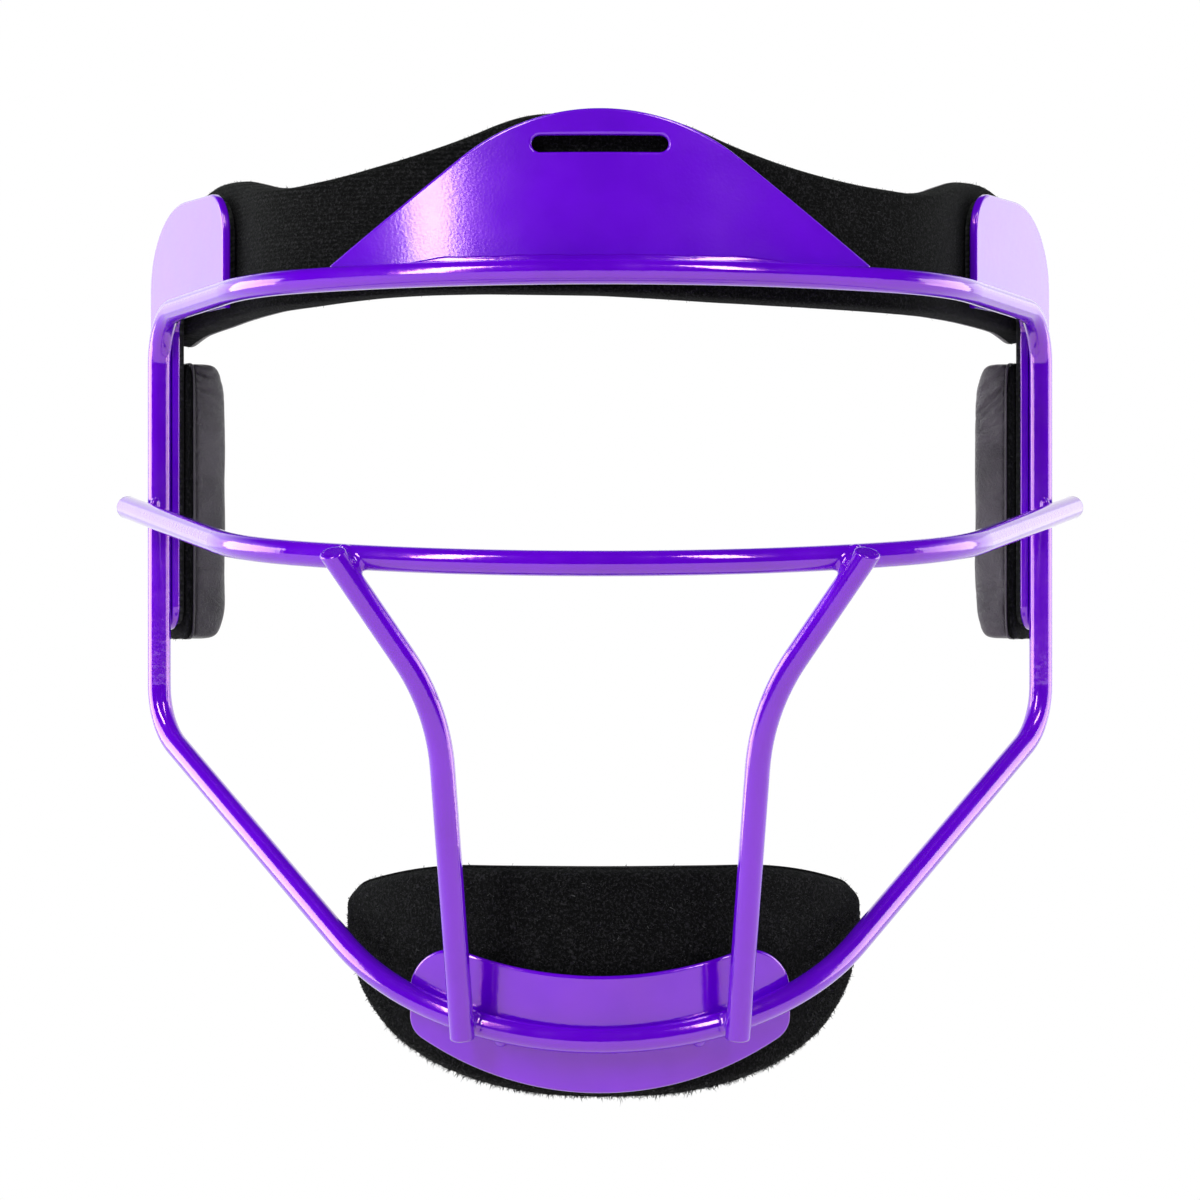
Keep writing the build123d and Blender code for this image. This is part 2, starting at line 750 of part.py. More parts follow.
def cheek_pillow(margin, thickness):
    """Pillow that narrows towards its crown."""
    with BuildPart() as pillow:
        for depth_share, draw_share in pillow_shares:
            with BuildSketch(temple_plane(facing_back + thickness * depth_share)):
                add(cheek_outline(margin + cheek_pad_draw * draw_share))
        loft()
    return pillow.part


with BuildPart() as left_cheek_facing:
    with BuildSketch(temple_plane(pad_face)):
        add(cheek_outline(0))
    extrude(amount=-facing_thickness)

with BuildPart() as left_cheek_foam:
    add(cheek_pillow(lining_thickness, cheek_foam))

with BuildPart() as left_cheek_lining:
    add(cheek_pillow(0, cheek_foam + lining_thickness))
    add(left_cheek_foam.part, mode=Mode.SUBTRACT)

with BuildPart() as right_cheek_facing:
    mirror(left_cheek_facing.part, about=Plane.YZ)

with BuildPart() as right_cheek_foam:
    mirror(left_cheek_foam.part, about=Plane.YZ)

with BuildPart() as right_cheek_lining:
    mirror(left_cheek_lining.part, about=Plane.YZ)


# Chin pad: a cup inside the chin plate
def chin_pad_outline():
    """Boat outline of the chin pad."""
    half = chin_pad_half_width
    quarter = placed(chin_quarter_shares, half, chin_pad_bottom, chin_pad_top)
    turn = placed(chin_turn_shares, half, chin_pad_bottom, chin_pad_top)
    end = placed(chin_side_shares, half, chin_pad_bottom, chin_pad_top)
    with BuildSketch() as outline:
        with BuildLine():
            low = Spline((0, chin_pad_bottom), quarter, turn, end, tangents=((1, 0), (0, 1)))
            side = Line(low @ 1, (half, chin_pad_top - chin_pad_shoulder_drop))
            shoulder = TangentArc(
                (half * chin_pad_shoulder_share, chin_pad_top), side @ 1, tangent=(1, 0)
            )
            top = Line(shoulder @ 0, (0, chin_pad_top))
            mirror([low, side, shoulder, top], about=Plane.YZ)
        make_face()
        for spread in (half, -half):
            corner = (spread, chin_pad_top - chin_pad_shoulder_drop)
            fillet(outline.vertices().sort_by_distance(corner)[0], chin_pad_top_corner)
    return outline.sketch


def crowned_chin_band(near, thin_far, full_far):
    """Upright cup whose far side swells from its low and high edges to the middle."""
    with BuildPart() as band:
        for height_share, crown_share in pad_crown_shares:
            height = chin_pad_bottom + (chin_pad_top - chin_pad_bottom) * height_share
            far = thin_far + (full_far - thin_far) * crown_share
            with BuildSketch(Plane.XY.offset(height)):
                add(chin_face(near, far))
        loft()
    return band.part


chin_back = facing_back + chin_foam

with BuildPart() as chin_pad_facing:
    add(chin_band(pad_face, facing_back, chin_pad_bottom, chin_pad_top))
    with BuildSketch(Plane.XZ):
        add(chin_pad_outline())
    extrude(amount=chin_reach + overrun, mode=Mode.INTERSECT)

with BuildPart() as chin_pad_foam:
    add(crowned_chin_band(facing_back, facing_back + chin_thin, chin_back))
    with BuildSketch(Plane.XZ):
        add(chin_pad_outline())
    extrude(amount=chin_reach + overrun, mode=Mode.INTERSECT)

with BuildPart() as chin_pad_lining:
    add(
        crowned_chin_band(
            facing_back, facing_back + chin_thin + lining_thickness, chin_back + lining_thickness
        )
    )
    with BuildSketch(Plane.XZ):
        add(chin_pad_outline())
    extrude(amount=chin_reach + overrun, mode=Mode.INTERSECT)
    add(chin_pad_foam.part, mode=Mode.SUBTRACT)

for name, piece in (
    ("brow_bar", brow_bar),
    ("left_side_wire", left_side_wire),
    ("right_side_wire", right_side_wire),
    ("chin_bar", chin_bar),
    ("cheek_bar", cheek_bar),
    ("left_nose_bar", left_nose_bar),
    ("right_nose_bar", right_nose_bar),
    ("brow_plate", brow_plate),
    ("left_temple_plate", left_temple_plate),
    ("right_temple_plate", right_temple_plate),
    ("chin_plate", chin_plate),
    ("wire_welds", wire_welds),
    ("plate_welds", plate_welds),
    ("brow_weld", brow_weld),
    ("brow_hook_strip", brow_hook_strip),
    ("left_hook_strip", left_hook_strip),
    ("right_hook_strip", right_hook_strip),
    ("chin_hook_strip", chin_hook_strip),
    ("forehead_pad_facing", forehead_pad_facing),
    ("forehead_pad_foam", forehead_pad_foam),
    ("forehead_pad_lining", forehead_pad_lining),
    ("left_cheek_facing", left_cheek_facing),
    ("left_cheek_foam", left_cheek_foam),
    ("left_cheek_lining", left_cheek_lining),
    ("right_cheek_facing", right_cheek_facing),
    ("right_cheek_foam", right_cheek_foam),
    ("right_cheek_lining", right_cheek_lining),
    ("chin_pad_facing", chin_pad_facing),
    ("chin_pad_foam", chin_pad_foam),
    ("chin_pad_lining", chin_pad_lining),
):
    write(piece.part, name)
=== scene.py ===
import json
from math import acos, asin, atan2, cos, hypot, pi, radians, sin, sqrt, tan

import bmesh
import bpy
import numpy as np
from mathutils import Matrix, Vector


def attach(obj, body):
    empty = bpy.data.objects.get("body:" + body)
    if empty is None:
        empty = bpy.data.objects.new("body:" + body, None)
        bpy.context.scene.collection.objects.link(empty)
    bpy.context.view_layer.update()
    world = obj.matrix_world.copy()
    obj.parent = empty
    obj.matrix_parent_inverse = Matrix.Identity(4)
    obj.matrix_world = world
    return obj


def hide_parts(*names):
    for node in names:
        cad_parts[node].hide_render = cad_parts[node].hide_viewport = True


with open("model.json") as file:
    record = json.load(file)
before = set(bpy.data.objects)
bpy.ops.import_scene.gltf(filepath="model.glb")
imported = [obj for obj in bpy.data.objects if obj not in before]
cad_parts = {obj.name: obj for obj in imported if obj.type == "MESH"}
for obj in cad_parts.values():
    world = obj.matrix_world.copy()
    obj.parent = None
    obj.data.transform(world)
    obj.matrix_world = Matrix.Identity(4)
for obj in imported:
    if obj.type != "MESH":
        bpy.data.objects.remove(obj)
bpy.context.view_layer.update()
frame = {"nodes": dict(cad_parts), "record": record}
nodes = frame["nodes"]
MM = 0.001

# Sizes from the part's source, in millimetres
WIRE = 2.5  # radius of the coated wire
WIRE_STEP = 4.8  # between the centre lines of two wires that touch
PAD_FACE = 5.8  # from a wire's centre line back to the front of a pad
HALF_WIDTH, FLARE = 95.4, radians(23.5)
BROW_REACH, BROW_HEIGHT, BROW_LEAN = 78.0, 45.0, radians(8.0)
BROW_TURN, BROW_SHARE = radians(30), 0.333
CHEEK_FLARE = radians(20)
CHIN_REACH, CHIN_DROP, JAW_HEIGHT = 83.0, 59.8, -47.0
CHIN_END_RADIUS, CHIN_SHIFT = 62.0, 1.8
NOSE_TOP_X, NOSE_BEND_X, NOSE_BOTTOM_X, NOSE_BEND_Z = 51.4, 31.48, 27.3, -41.1
CHEEK_W, CHEEK_Z, CHEEK_HALF, PILLOW_HALF = 8.75, 1.5, 10.25, 29.7
FLOOR = -190


# ---------------------------------------------------------------- curves of the cage
class Arch:
    """Plan curve with a wide front arc, a tighter corner and a straight flared side."""

    def __init__(self, reach, half_width, flare, turn, share, rear_z=0.0, front_z=0.0):
        slope = tan(flare)
        front = sin(turn) - slope * (1 - cos(turn))
        corner = 1 / cos(flare) - sin(turn) - slope * cos(turn)
        self.slope_reach = hypot(reach, front_z - rear_z)
        self.front = (half_width - self.slope_reach * slope) / (front + share * corner)
        self.corner = self.front * share
        self.turn, self.full = turn, pi / 2 - flare
        self.reach, self.rear_z, self.front_z = reach, rear_z, front_z

    def plan(self, length, inset=0.0):
        """Point in the curve's own plane at a length from the middle."""
        side, length = (1 if length >= 0 else -1), abs(length)
        first, second = self.front * self.turn, self.corner * (self.full - self.turn)
        centre = (0.0, self.front - self.slope_reach)
        if length <= first:
            angle, radius, run = length / self.front, self.front - inset, 0.0
        else:
            step = self.front - self.corner
            centre = (step * sin(self.turn), centre[1] - step * cos(self.turn))
            angle = self.turn + min(length - first, second) / self.corner
            radius, run = self.corner - inset, max(0.0, length - first - second)
        x = centre[0] + radius * sin(angle) + run * cos(angle)
        y = centre[1] - radius * cos(angle) + run * sin(angle)
        return side * x, y

    def point(self, length):
        """Point in the object's frame."""
        x, y = self.plan(length)
        share = y / self.slope_reach
        return np.array([x, share * self.reach, self.rear_z - share * (self.front_z - self.rear_z)])


def brow_at(z):
    """The brow curve at a height, which leans back like the brow plate."""
    return Arch(BROW_REACH - (z - BROW_HEIGHT) * tan(BROW_LEAN), HALF_WIDTH, FLARE, BROW_TURN, BROW_SHARE)


CHIN_SLOPE = hypot(CHIN_REACH, CHIN_DROP)
CHIN_RADIUS = HALF_WIDTH * 0.6319


def chin_point(spread):
    """Point of the chin wire at a distance from the mid-plane."""
    back = CHIN_RADIUS - CHIN_SLOPE - sqrt(CHIN_RADIUS**2 - spread**2)
    return np.array([spread, back * CHIN_REACH / CHIN_SLOPE, JAW_HEIGHT + back * CHIN_DROP / CHIN_SLOPE])


brow_wire = Arch(BROW_REACH, HALF_WIDTH, FLARE, BROW_TURN, BROW_SHARE, 41.7, BROW_HEIGHT)
cheek_wire = Arch(
    105.2, HALF_WIDTH + WIRE_STEP / cos(CHEEK_FLARE), CHEEK_FLARE, radians(35), 0.43, -0.6, -13.0
)
cheek_path = np.array([cheek_wire.point(t) for t in np.linspace(0, 150, 1501)])

nose_bend = np.array([NOSE_BEND_X, 0.0, NOSE_BEND_Z])
cross_index = np.argmin(abs(cheek_path[:, 0] - NOSE_TOP_X))
cheek_cross = cheek_path[cross_index]
chin_cross = chin_point(NOSE_BOTTOM_X)


def crossing_gap(first, second):
    """Distance along Y between the centre lines of two wires that touch where they cross."""
    across = np.cross(first, second)
    return WIRE_STEP / abs(across[1] / np.linalg.norm(across))


cheek_along = cheek_path[cross_index + 5] - cheek_path[cross_index - 5]
chin_along = chin_point(NOSE_BOTTOM_X + 0.5) - chin_point(NOSE_BOTTOM_X - 0.5)
upper_run = [NOSE_TOP_X - NOSE_BEND_X, 0, cheek_cross[2] - NOSE_BEND_Z]
lower_run = [NOSE_BEND_X - NOSE_BOTTOM_X, 0, NOSE_BEND_Z - chin_cross[2]]
nose_top = cheek_cross - [0, crossing_gap(cheek_along, upper_run), 0]
nose_bottom = chin_cross - [0, crossing_gap(chin_along, lower_run), 0]
bend_share = (nose_bend[2] - nose_bottom[2]) / (nose_top[2] - nose_bottom[2])
nose_bend[1] = nose_bottom[1] + bend_share * (nose_top[1] - nose_bottom[1])


# ---------------------------------------------------------------- mesh helpers
def build(name, points, faces, smooth=True):
    """Mesh object from points in millimetres."""
    mesh = bpy.data.meshes.new(name)
    mesh.from_pydata((np.asarray(points, float) * MM).tolist(), [], faces)
    mesh.validate()
    if smooth:
        mesh.shade_smooth()
    piece = bpy.data.objects.new(name, mesh)
    bpy.context.scene.collection.objects.link(piece)
    return piece


def apply_all(piece):
    """Make the result of a piece's modifiers its mesh."""
    graph = bpy.context.evaluated_depsgraph_get()
    mesh = bpy.data.meshes.new_from_object(piece.evaluated_get(graph))
    piece.modifiers.clear()
    piece.data = mesh


def face_out(piece):
    """Turn all faces outwards."""
    mesh = bmesh.new()
    mesh.from_mesh(piece.data)
    bmesh.ops.recalc_face_normals(mesh, faces=mesh.faces)
    mesh.to_mesh(piece.data)
    mesh.free()


def subdivide(piece):
    """Turn a piece's faces outwards and subdivide it once."""
    face_out(piece)
    modifier = piece.modifiers.new("subsurf", "SUBSURF")
    modifier.levels = modifier.render_levels = 1
    apply_all(piece)


def mirrored(piece, name):
    """Copy of a piece on the other side of the mid-plane."""
    copy = bpy.data.objects.new(name, piece.data.copy())
    copy.data.transform(Matrix.Scale(-1, 4, (1, 0, 0)))
    copy.data.flip_normals()
    bpy.context.scene.collection.objects.link(copy)
    return copy


def finish_piece(piece, body, material, slot, *replaced):
    """Give a piece its material and body, and hide the nodes that it stands for. The slot is not used."""
    piece.data.materials.clear()
    piece.data.materials.append(material)
    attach(piece, body)
    if replaced:
        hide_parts(*replaced)
    return piece


def surface_net(values, origin, step):
    """Points and quads of the zero level of a sampled field."""
    values = values.copy()
    for axis in range(3):
        edge = [slice(None)] * 3
        for place in (0, -1):
            edge[axis] = place
            values[tuple(edge)] = np.maximum(values[tuple(edge)], step / 4)
    cells = tuple(n - 1 for n in values.shape)
    total, count = np.zeros(cells + (3,)), np.zeros(cells)
    grid = np.stack(np.meshgrid(*[np.arange(n) for n in values.shape], indexing="ij"), -1).astype(float)
    crossings = []
    for axis in range(3):
        low, high = [slice(None)] * 3, [slice(None)] * 3
        low[axis], high[axis] = slice(0, -1), slice(1, None)
        a, b = values[tuple(low)], values[tuple(high)]
        cross = (a < 0) != (b < 0)
        place = grid[tuple(low)].copy()
        place[..., axis] += np.where(cross, a / np.where(cross, a - b, 1), 0)
        others = [i for i in range(3) if i != axis]
        for first in (0, 1):
            for second in (0, 1):
                cut = [slice(None)] * 3
                cut[others[0]] = slice(first, first + cells[others[0]])
                cut[others[1]] = slice(second, second + cells[others[1]])
                hit = cross[tuple(cut)]
                total += place[tuple(cut)] * hit[..., None]
                count += hit
        crossings.append((axis, others, cross, a))
    used = count > 0
    index = -np.ones(cells, int)
    index[used] = np.arange(used.sum())
    points = np.array(origin) + step * total[used] / count[used][:, None]
    faces = []
    for axis, others, cross, a in crossings:
        for place in np.argwhere(cross):
            if min(place[others[0]], place[others[1]]) < 1:
                continue
            if place[others[0]] >= cells[others[0]] or place[others[1]] >= cells[others[1]]:
                continue
            corners = []
            for first, second in ((-1, -1), (0, -1), (0, 0), (-1, 0)):
                cell = place.copy()
                cell[others[0]] += first
                cell[others[1]] += second
                corners.append(int(index[tuple(cell)]))
            outward = (a[tuple(place)] < 0) != (axis == 1)
            faces.append(corners if outward else corners[::-1])
    return points, faces


def to_path(points, path):
    """Distance from each point to a line through the given places."""
    best = np.full(len(points), 1e9)
    for start, end in zip(path[:-1], path[1:]):
        run = end - start
        along = np.clip(((points - start) @ run) / (run @ run), 0, 1)
        best = np.minimum(best, np.linalg.norm(points - start - along[:, None] * run, axis=1))
    return best


def soft_min(a, b, reach):
    """The lower of two fields, rounded where they meet."""
    mix = np.clip(0.5 + 0.5 * (b - a) / reach, 0, 1)
    return b * (1 - mix) + a * mix - reach * mix * (1 - mix)


def grid_points(centre, half, step):
    """Points of a box-shaped grid, with its shape and first corner."""
    axes = [np.arange(c - h, c + h + step / 2, step) for c, h in zip(centre, half)]
    grid = np.stack(np.meshgrid(*axes, indexing="ij"), -1)
    return grid.reshape(-1, 3), grid.shape[:3], [axis[0] for axis in axes]


def weld(name, centre, paths, beads, blend=2.2, half=8.0, step=0.3):
    """Filler that runs smoothly from one wire into the other, with a few ripples."""
    points, shape, origin = grid_points(centre, (half,) * 3, step)
    field = to_path(points, paths[0]) - WIRE
    for path in paths[1:]:
        field = soft_min(field, to_path(points, path) - WIRE, blend)
    for place, radius in beads:
        field = soft_min(field, np.linalg.norm(points - place, axis=1) - radius, 0.7)
    return build(name, *surface_net((field + 0.08).reshape(shape), origin, step))


# ---------------------------------------------------------------- materials
def material(name, base, roughness):
    made = bpy.data.materials.new(name)
    made.use_nodes = True
    shader = made.node_tree.nodes["Principled BSDF"]
    shader.inputs["Base Color"].default_value = (*base, 1)
    shader.inputs["Roughness"].default_value = roughness
    return made, made.node_tree, shader


def node(tree, kind, inputs=(), **values):
    made = tree.nodes.new(kind)
    for key, value in values.items():
        setattr(made, key, value)
    for key, value in dict(inputs).items():
        if isinstance(value, bpy.types.NodeSocket):
            tree.links.new(value, made.inputs[key])
        else:
            made.inputs[key].default_value = value
    return made


def spots(tree, scale, detail=2.0, roughness=0.5, place=None, distortion=0.0):
    """Noise by place on the object, in features per metre."""
    place = place or node(tree, "ShaderNodeTexCoord").outputs["Object"]
    return node(tree, "ShaderNodeTexNoise", {
        "Vector": place, "Scale": scale, "Detail": detail,
        "Roughness": roughness, "Distortion": distortion,
    }).outputs["Fac"]


def ramp(tree, value, low, high, start, end):
    """The value's share between low and high, spread from start to end."""
    return node(tree, "ShaderNodeMapRange", {
        "Value": value, "From Min": low, "From Max": high, "To Min": start, "To Max": end,
    }).outputs["Result"]


def tint(tree, value, dark, light):
    """Colour between two, by a value from 0 to 1."""
    return node(tree, "ShaderNodeMix", {0: value, 6: (*dark, 1), 7: (*light, 1)}, data_type="RGBA").outputs[2]


def bump(tree, height, strength, distance, normal=None):
    inputs = {"Height": height, "Strength": strength, "Distance": distance}
    if normal:
        inputs["Normal"] = normal
    return node(tree, "ShaderNodeBump", inputs).outputs["Normal"]


def blend_values(tree, a, b, factor):
    return node(tree, "ShaderNodeMix", {0: factor, 2: a, 3: b}, data_type="FLOAT").outputs[0]


def shaded(tree, factor, colour, shade):
    """A colour multiplied by a shade, as far as the factor says."""
    return node(
        tree, "ShaderNodeMix", {0: factor, 6: colour, 7: shade}, data_type="RGBA", blend_type="MULTIPLY"
    ).outputs[2]


def powder_coat(name, softness, peel_strength, peel_scale, gleam=(1.0, 0.28, 0.6, 1)):
    """Glossy purple coating with fine orange peel, duller in small patches."""
    made, tree, shader = material(name, (0.1, 0.0, 0.56), 0.14)
    patches = spots(tree, 60, 3)
    colour = tint(tree, ramp(tree, patches, 0.3, 0.7, 0, 1), (0.125, 0.0, 0.68), (0.155, 0.0, 0.8))
    tree.links.new(colour, shader.inputs["Base Color"])
    dull = ramp(tree, spots(tree, 140, 4), 0.35, 0.75, 0.1 + softness, 0.22 + 0.2 * softness)
    tree.links.new(dull, shader.inputs["Roughness"])
    peel = bump(tree, spots(tree, peel_scale, 2, 0.4), peel_strength, 0.0003)
    fine = bump(tree, spots(tree, 2600, 2), 0.07, 0.0001, peel)
    tree.links.new(fine, shader.inputs["Normal"])
    tree.links.new(peel, shader.inputs["Coat Normal"])
    shader.inputs["IOR"].default_value = 1.7
    shader.inputs["Specular IOR Level"].default_value = 1.0
    shader.inputs["Specular Tint"].default_value = gleam
    shader.inputs["Coat Weight"].default_value = 1.0
    shader.inputs["Coat Roughness"].default_value = 0.04 + softness
    return made


def loop_cloth(ribbed):
    """Brushed black loop cloth, with knitted ribs in bumps and in painted shade and highlight, that show on one side
    of the forehead pad.
    """
    made, tree, shader = material("ribbed_cloth" if ribbed else "loop_cloth", (0.012, 0.012, 0.013), 0.95)
    place = node(tree, "ShaderNodeTexCoord").outputs["Object"]
    nap = spots(tree, 1900, 5, 0.75, place, 0.6)
    tufts = spots(tree, 700, 3, 0.6, place)
    colour = tint(tree, ramp(tree, nap, 0.49, 0.7, 0, 1), (0.001, 0.0009, 0.001), (0.034, 0.0305, 0.0345))
    height = blend_values(tree, nap, tufts, 0.35)
    if ribbed:
        ribs = node(tree, "ShaderNodeTexWave", {
            "Vector": place, "Scale": 330.0, "Distortion": 2.6, "Detail": 3.0,
            "Detail Scale": 2.5, "Detail Roughness": 0.6,
        }, bands_direction="Z").outputs["Fac"]
        across = node(tree, "ShaderNodeSeparateXYZ", {"Vector": place}).outputs["X"]
        side = ramp(tree, across, -0.02, 0.03, 0.4, 0.1)
        height = blend_values(tree, height, ribs, side)
        # Painted shade in the rib grooves and painted highlight on the ridges, stronger on the wearer's right.
        shade = tint(tree, ribs, (0.45, 0.45, 0.45), (1.3, 1.3, 1.3))
        colour = shaded(tree, side, colour, shade)
    tree.links.new(colour, shader.inputs["Base Color"])
    tree.links.new(bump(tree, height, 0.8, 0.0006), shader.inputs["Normal"])
    shader.inputs["Sheen Weight"].default_value = 0.02
    shader.inputs["Specular IOR Level"].default_value = 0.12
    return made


def fibre():
    """Loose fibre of the loop cloth."""
    made, tree, shader = material("loop_fibre", (0.02, 0.02, 0.021), 0.6)
    mix = ramp(tree, spots(tree, 900, 3), 0.35, 0.7, 0, 1)
    colour = tint(tree, mix, (0.004, 0.0036, 0.004), (0.075, 0.07, 0.075))
    tree.links.new(colour, shader.inputs["Base Color"])
    shader.inputs["Specular IOR Level"].default_value = 0.2
    return made


def hook_tape():
    """Black tape set with rows of tiny hooks."""
    made, tree, shader = material("hook_tape", (0.01, 0.01, 0.01), 0.55)
    place = node(tree, "ShaderNodeTexCoord").outputs["Object"]
    hooks = node(tree, "ShaderNodeTexVoronoi", {
        "Vector": place, "Scale": 900.0, "Randomness": 0.35,
    }).outputs["Distance"]
    colour = tint(tree, ramp(tree, hooks, 0.1, 0.6, 0, 1), (0.03, 0.03, 0.03), (0.006, 0.006, 0.006))
    tree.links.new(colour, shader.inputs["Base Color"])
    tree.links.new(ramp(tree, hooks, 0.1, 0.6, 0.4, 0.85), shader.inputs["Roughness"])
    tree.links.new(bump(tree, hooks, 0.7, 0.0005), shader.inputs["Normal"])
    return made


def leatherette():
    """Soft dark grey synthetic leather with fine grain and creases, and painted light that makes it paler towards
    the wearer's left.
    """
    made, tree, shader = material("leatherette", (0.048, 0.04, 0.05), 0.5)
    place = node(tree, "ShaderNodeTexCoord").outputs["Object"]
    patches = spots(tree, 90, 4, 0.6, place)
    colour = tint(tree, ramp(tree, patches, 0.3, 0.7, 0, 1), (0.036, 0.028, 0.037), (0.085, 0.07, 0.087))
    grain = node(tree, "ShaderNodeTexVoronoi", {"Vector": place, "Scale": 1500.0}, feature="DISTANCE_TO_EDGE")
    grain = ramp(tree, grain.outputs["Distance"], 0, 0.12, 0, 1)
    creases = spots(tree, 260, 5, 0.65, place, 1.4)
    across = node(tree, "ShaderNodeSeparateXYZ", {"Vector": place}).outputs["X"]
    # Painted light: towards the wearer's left the colour is made up to half as light again, as if lit more from that
    # side.
    painted_side_light = tint(tree, ramp(tree, across, -0.03, 0.06, 0, 1), (1, 1, 1), (1.5, 1.45, 1.5))
    colour = shaded(tree, 1.0, colour, painted_side_light)
    tree.links.new(colour, shader.inputs["Base Color"])
    tree.links.new(ramp(tree, patches, 0.3, 0.7, 0.3, 0.46), shader.inputs["Roughness"])
    wide = bump(tree, creases, 0.5, 0.0012)
    tree.links.new(bump(tree, grain, 0.45, 0.00015, wide), shader.inputs["Normal"])
    return made


coat = powder_coat("purple_coat", 0.0, 0.07, 650)
plate_coat = powder_coat("purple_plate_coat", 0.09, 0.06, 1800, (0.75, 0.26, 0.7, 1))
knit, cloth = loop_cloth(True), loop_cloth(False)
tape, skin, fluff = hook_tape(), leatherette(), fibre()

record_slots = {entry["node"]: entry["material_slot"] for entry in frame["record"]["subparts"]}
looks = {"cage": coat, "hook_tape": tape, "loop_cloth": cloth, "foam": cloth, "lining": skin}
for name, piece in nodes.items():
    piece.data.materials.clear()
    piece.data.materials.append(plate_coat if name == "brow_plate" else looks[record_slots[name]])


# ---------------------------------------------------------------- welds
side_path = np.array([[HALF_WIDTH, 0, -12], [HALF_WIDTH, 0, 12]])
near_side = cheek_path[np.abs(cheek_path[:, 1]) < 9][::10]
cheek_piece = cheek_path[(cheek_path[:, 0] > 36) & (cheek_path[:, 0] < 60)][::10]
nose_lean = (nose_top - nose_bend) / np.linalg.norm(nose_top - nose_bend)
nose_foot = (nose_bend - nose_bottom) / np.linalg.norm(nose_bend - nose_bottom)
nose_head = np.array([nose_bend, nose_top - nose_lean * 2.3])
nose_tail = np.array([nose_bottom - nose_foot * 0.7, nose_bend])
chin_piece = np.array([chin_point(x) for x in np.linspace(16, 42, 27)])
head_side = np.array([-nose_lean[2], 0, nose_lean[0]])
head_side /= np.linalg.norm(head_side)
head_middle = (cheek_cross + nose_top) / 2
foot_middle = (chin_cross + nose_bottom) / 2
side_contact = np.array([HALF_WIDTH + WIRE * cos(CHEEK_FLARE), -WIRE * sin(CHEEK_FLARE), -0.6])
ripples = [
    (head_middle + head_side * (2.1 + 0.35 * i) + nose_lean * (0.1 - 1.05 * i), 1.15) for i in range(4)
]

# Name, middle, the wires' centre lines, and beads with their radius
weld_sites = [
    ("side_weld", side_contact, [side_path, near_side], [
        (side_contact + [-1.6, -1.9, 1.5 - 1.2 * i], 1.0) for i in range(3)
    ]),
    ("nose_top_weld", head_middle, [cheek_piece, nose_head], ripples),
    ("nose_foot_weld", foot_middle, [chin_piece, nose_tail], [
        (foot_middle + [-2.5, 0.3, 0.9 - 1.0 * i], 1.1) for i in range(2)
    ]),
]
for name, centre, paths, beads in weld_sites:
    left = weld("left_" + name, centre, paths, beads)
    right = mirrored(left, "right_" + name)
    for piece in (left, right):
        finish_piece(piece, "frame", coat, "cage", *(["wire_welds"] if name == "side_weld" else []))

# Filler in the groove between the brow bar and the brow plate, fading out at both ends
FILLET_HALF, FILLET_RING = 40.0, 10
shifts = np.random.default_rng(4).uniform(0, 6, 2)
points, faces = [], []
fillet_reach = brow_wire.front * asin(FILLET_HALF / brow_wire.front)
spans = np.linspace(-fillet_reach, fillet_reach, 161)
for t in spans:
    centre = brow_wire.point(t)
    out = np.array([sin(t / brow_wire.front), -cos(t / brow_wire.front), 0.0])
    fade = min(1.0, (fillet_reach - abs(t)) / 9) ** 0.5
    size = fade * (1 + 0.05 * sin(t * 0.31 + shifts[0]) + 0.04 * sin(t * 0.83 + shifts[1]))
    rise = 2.2 + 1.5 * size
    plate = np.array([*brow_at(centre[2] + rise).plan(t, WIRE - 0.02), centre[2] + rise])
    turn = radians(92 + 26 * size)
    bar = centre - out * (-cos(turn) * (WIRE - 0.02)) + np.array([0, 0, sin(turn) * (WIRE - 0.02)])
    corner = np.array([*brow_at(centre[2] + 1.6).plan(t, WIRE + 0.1), centre[2] + 1.9])
    arc = [plate * (1 - s) ** 2 + corner * 2 * s * (1 - s) + bar * s * s for s in np.linspace(0, 1, FILLET_RING - 1)]
    inside = centre + np.array([0, 0, 1.2]) - out * (WIRE + 0.7)
    points += arc + [inside]
for i in range(len(spans) - 1):
    for j in range(FILLET_RING):
        a, b = i * FILLET_RING + j, i * FILLET_RING + (j + 1) % FILLET_RING
        faces.append([a, b, b + FILLET_RING, a + FILLET_RING])
faces += [list(range(FILLET_RING)), list(range(len(points) - FILLET_RING, len(points)))]
brow_fillet = build("brow_fillet", points, faces)
face_out(brow_fillet)
finish_piece(brow_fillet, "frame", coat, "cage", "brow_weld")


def wire_end(name, place, along, rise):
    """Rounded end of a cut wire, where the coating gathers."""
    along = np.array(along, float) / np.linalg.norm(along)
    side = np.cross(along, [0.3, 0.4, 0.87])
    side /= np.linalg.norm(side)
    other = np.cross(along, side)
    rings, count = [(1.0, -0.25), (1.0, 0.0), (0.95, 0.4), (0.8, 0.72), (0.5, 0.93), (0.2, 1.0)], 40
    points, faces = [], []
    for radius, height in rings:
        for i in range(count):
            turn = 2 * pi * i / count
            points.append(
                place + along * height * rise
                + (side * cos(turn) + other * sin(turn)) * radius * (WIRE + 0.01)
            )
    for ring in range(len(rings) - 1):
        for i in range(count):
            a, b = ring * count + i, ring * count + (i + 1) % count
            faces.append([a, b, b + count, a + count])
    faces.append([(len(rings) - 1) * count + i for i in range(count)])
    return build(name, points, faces)


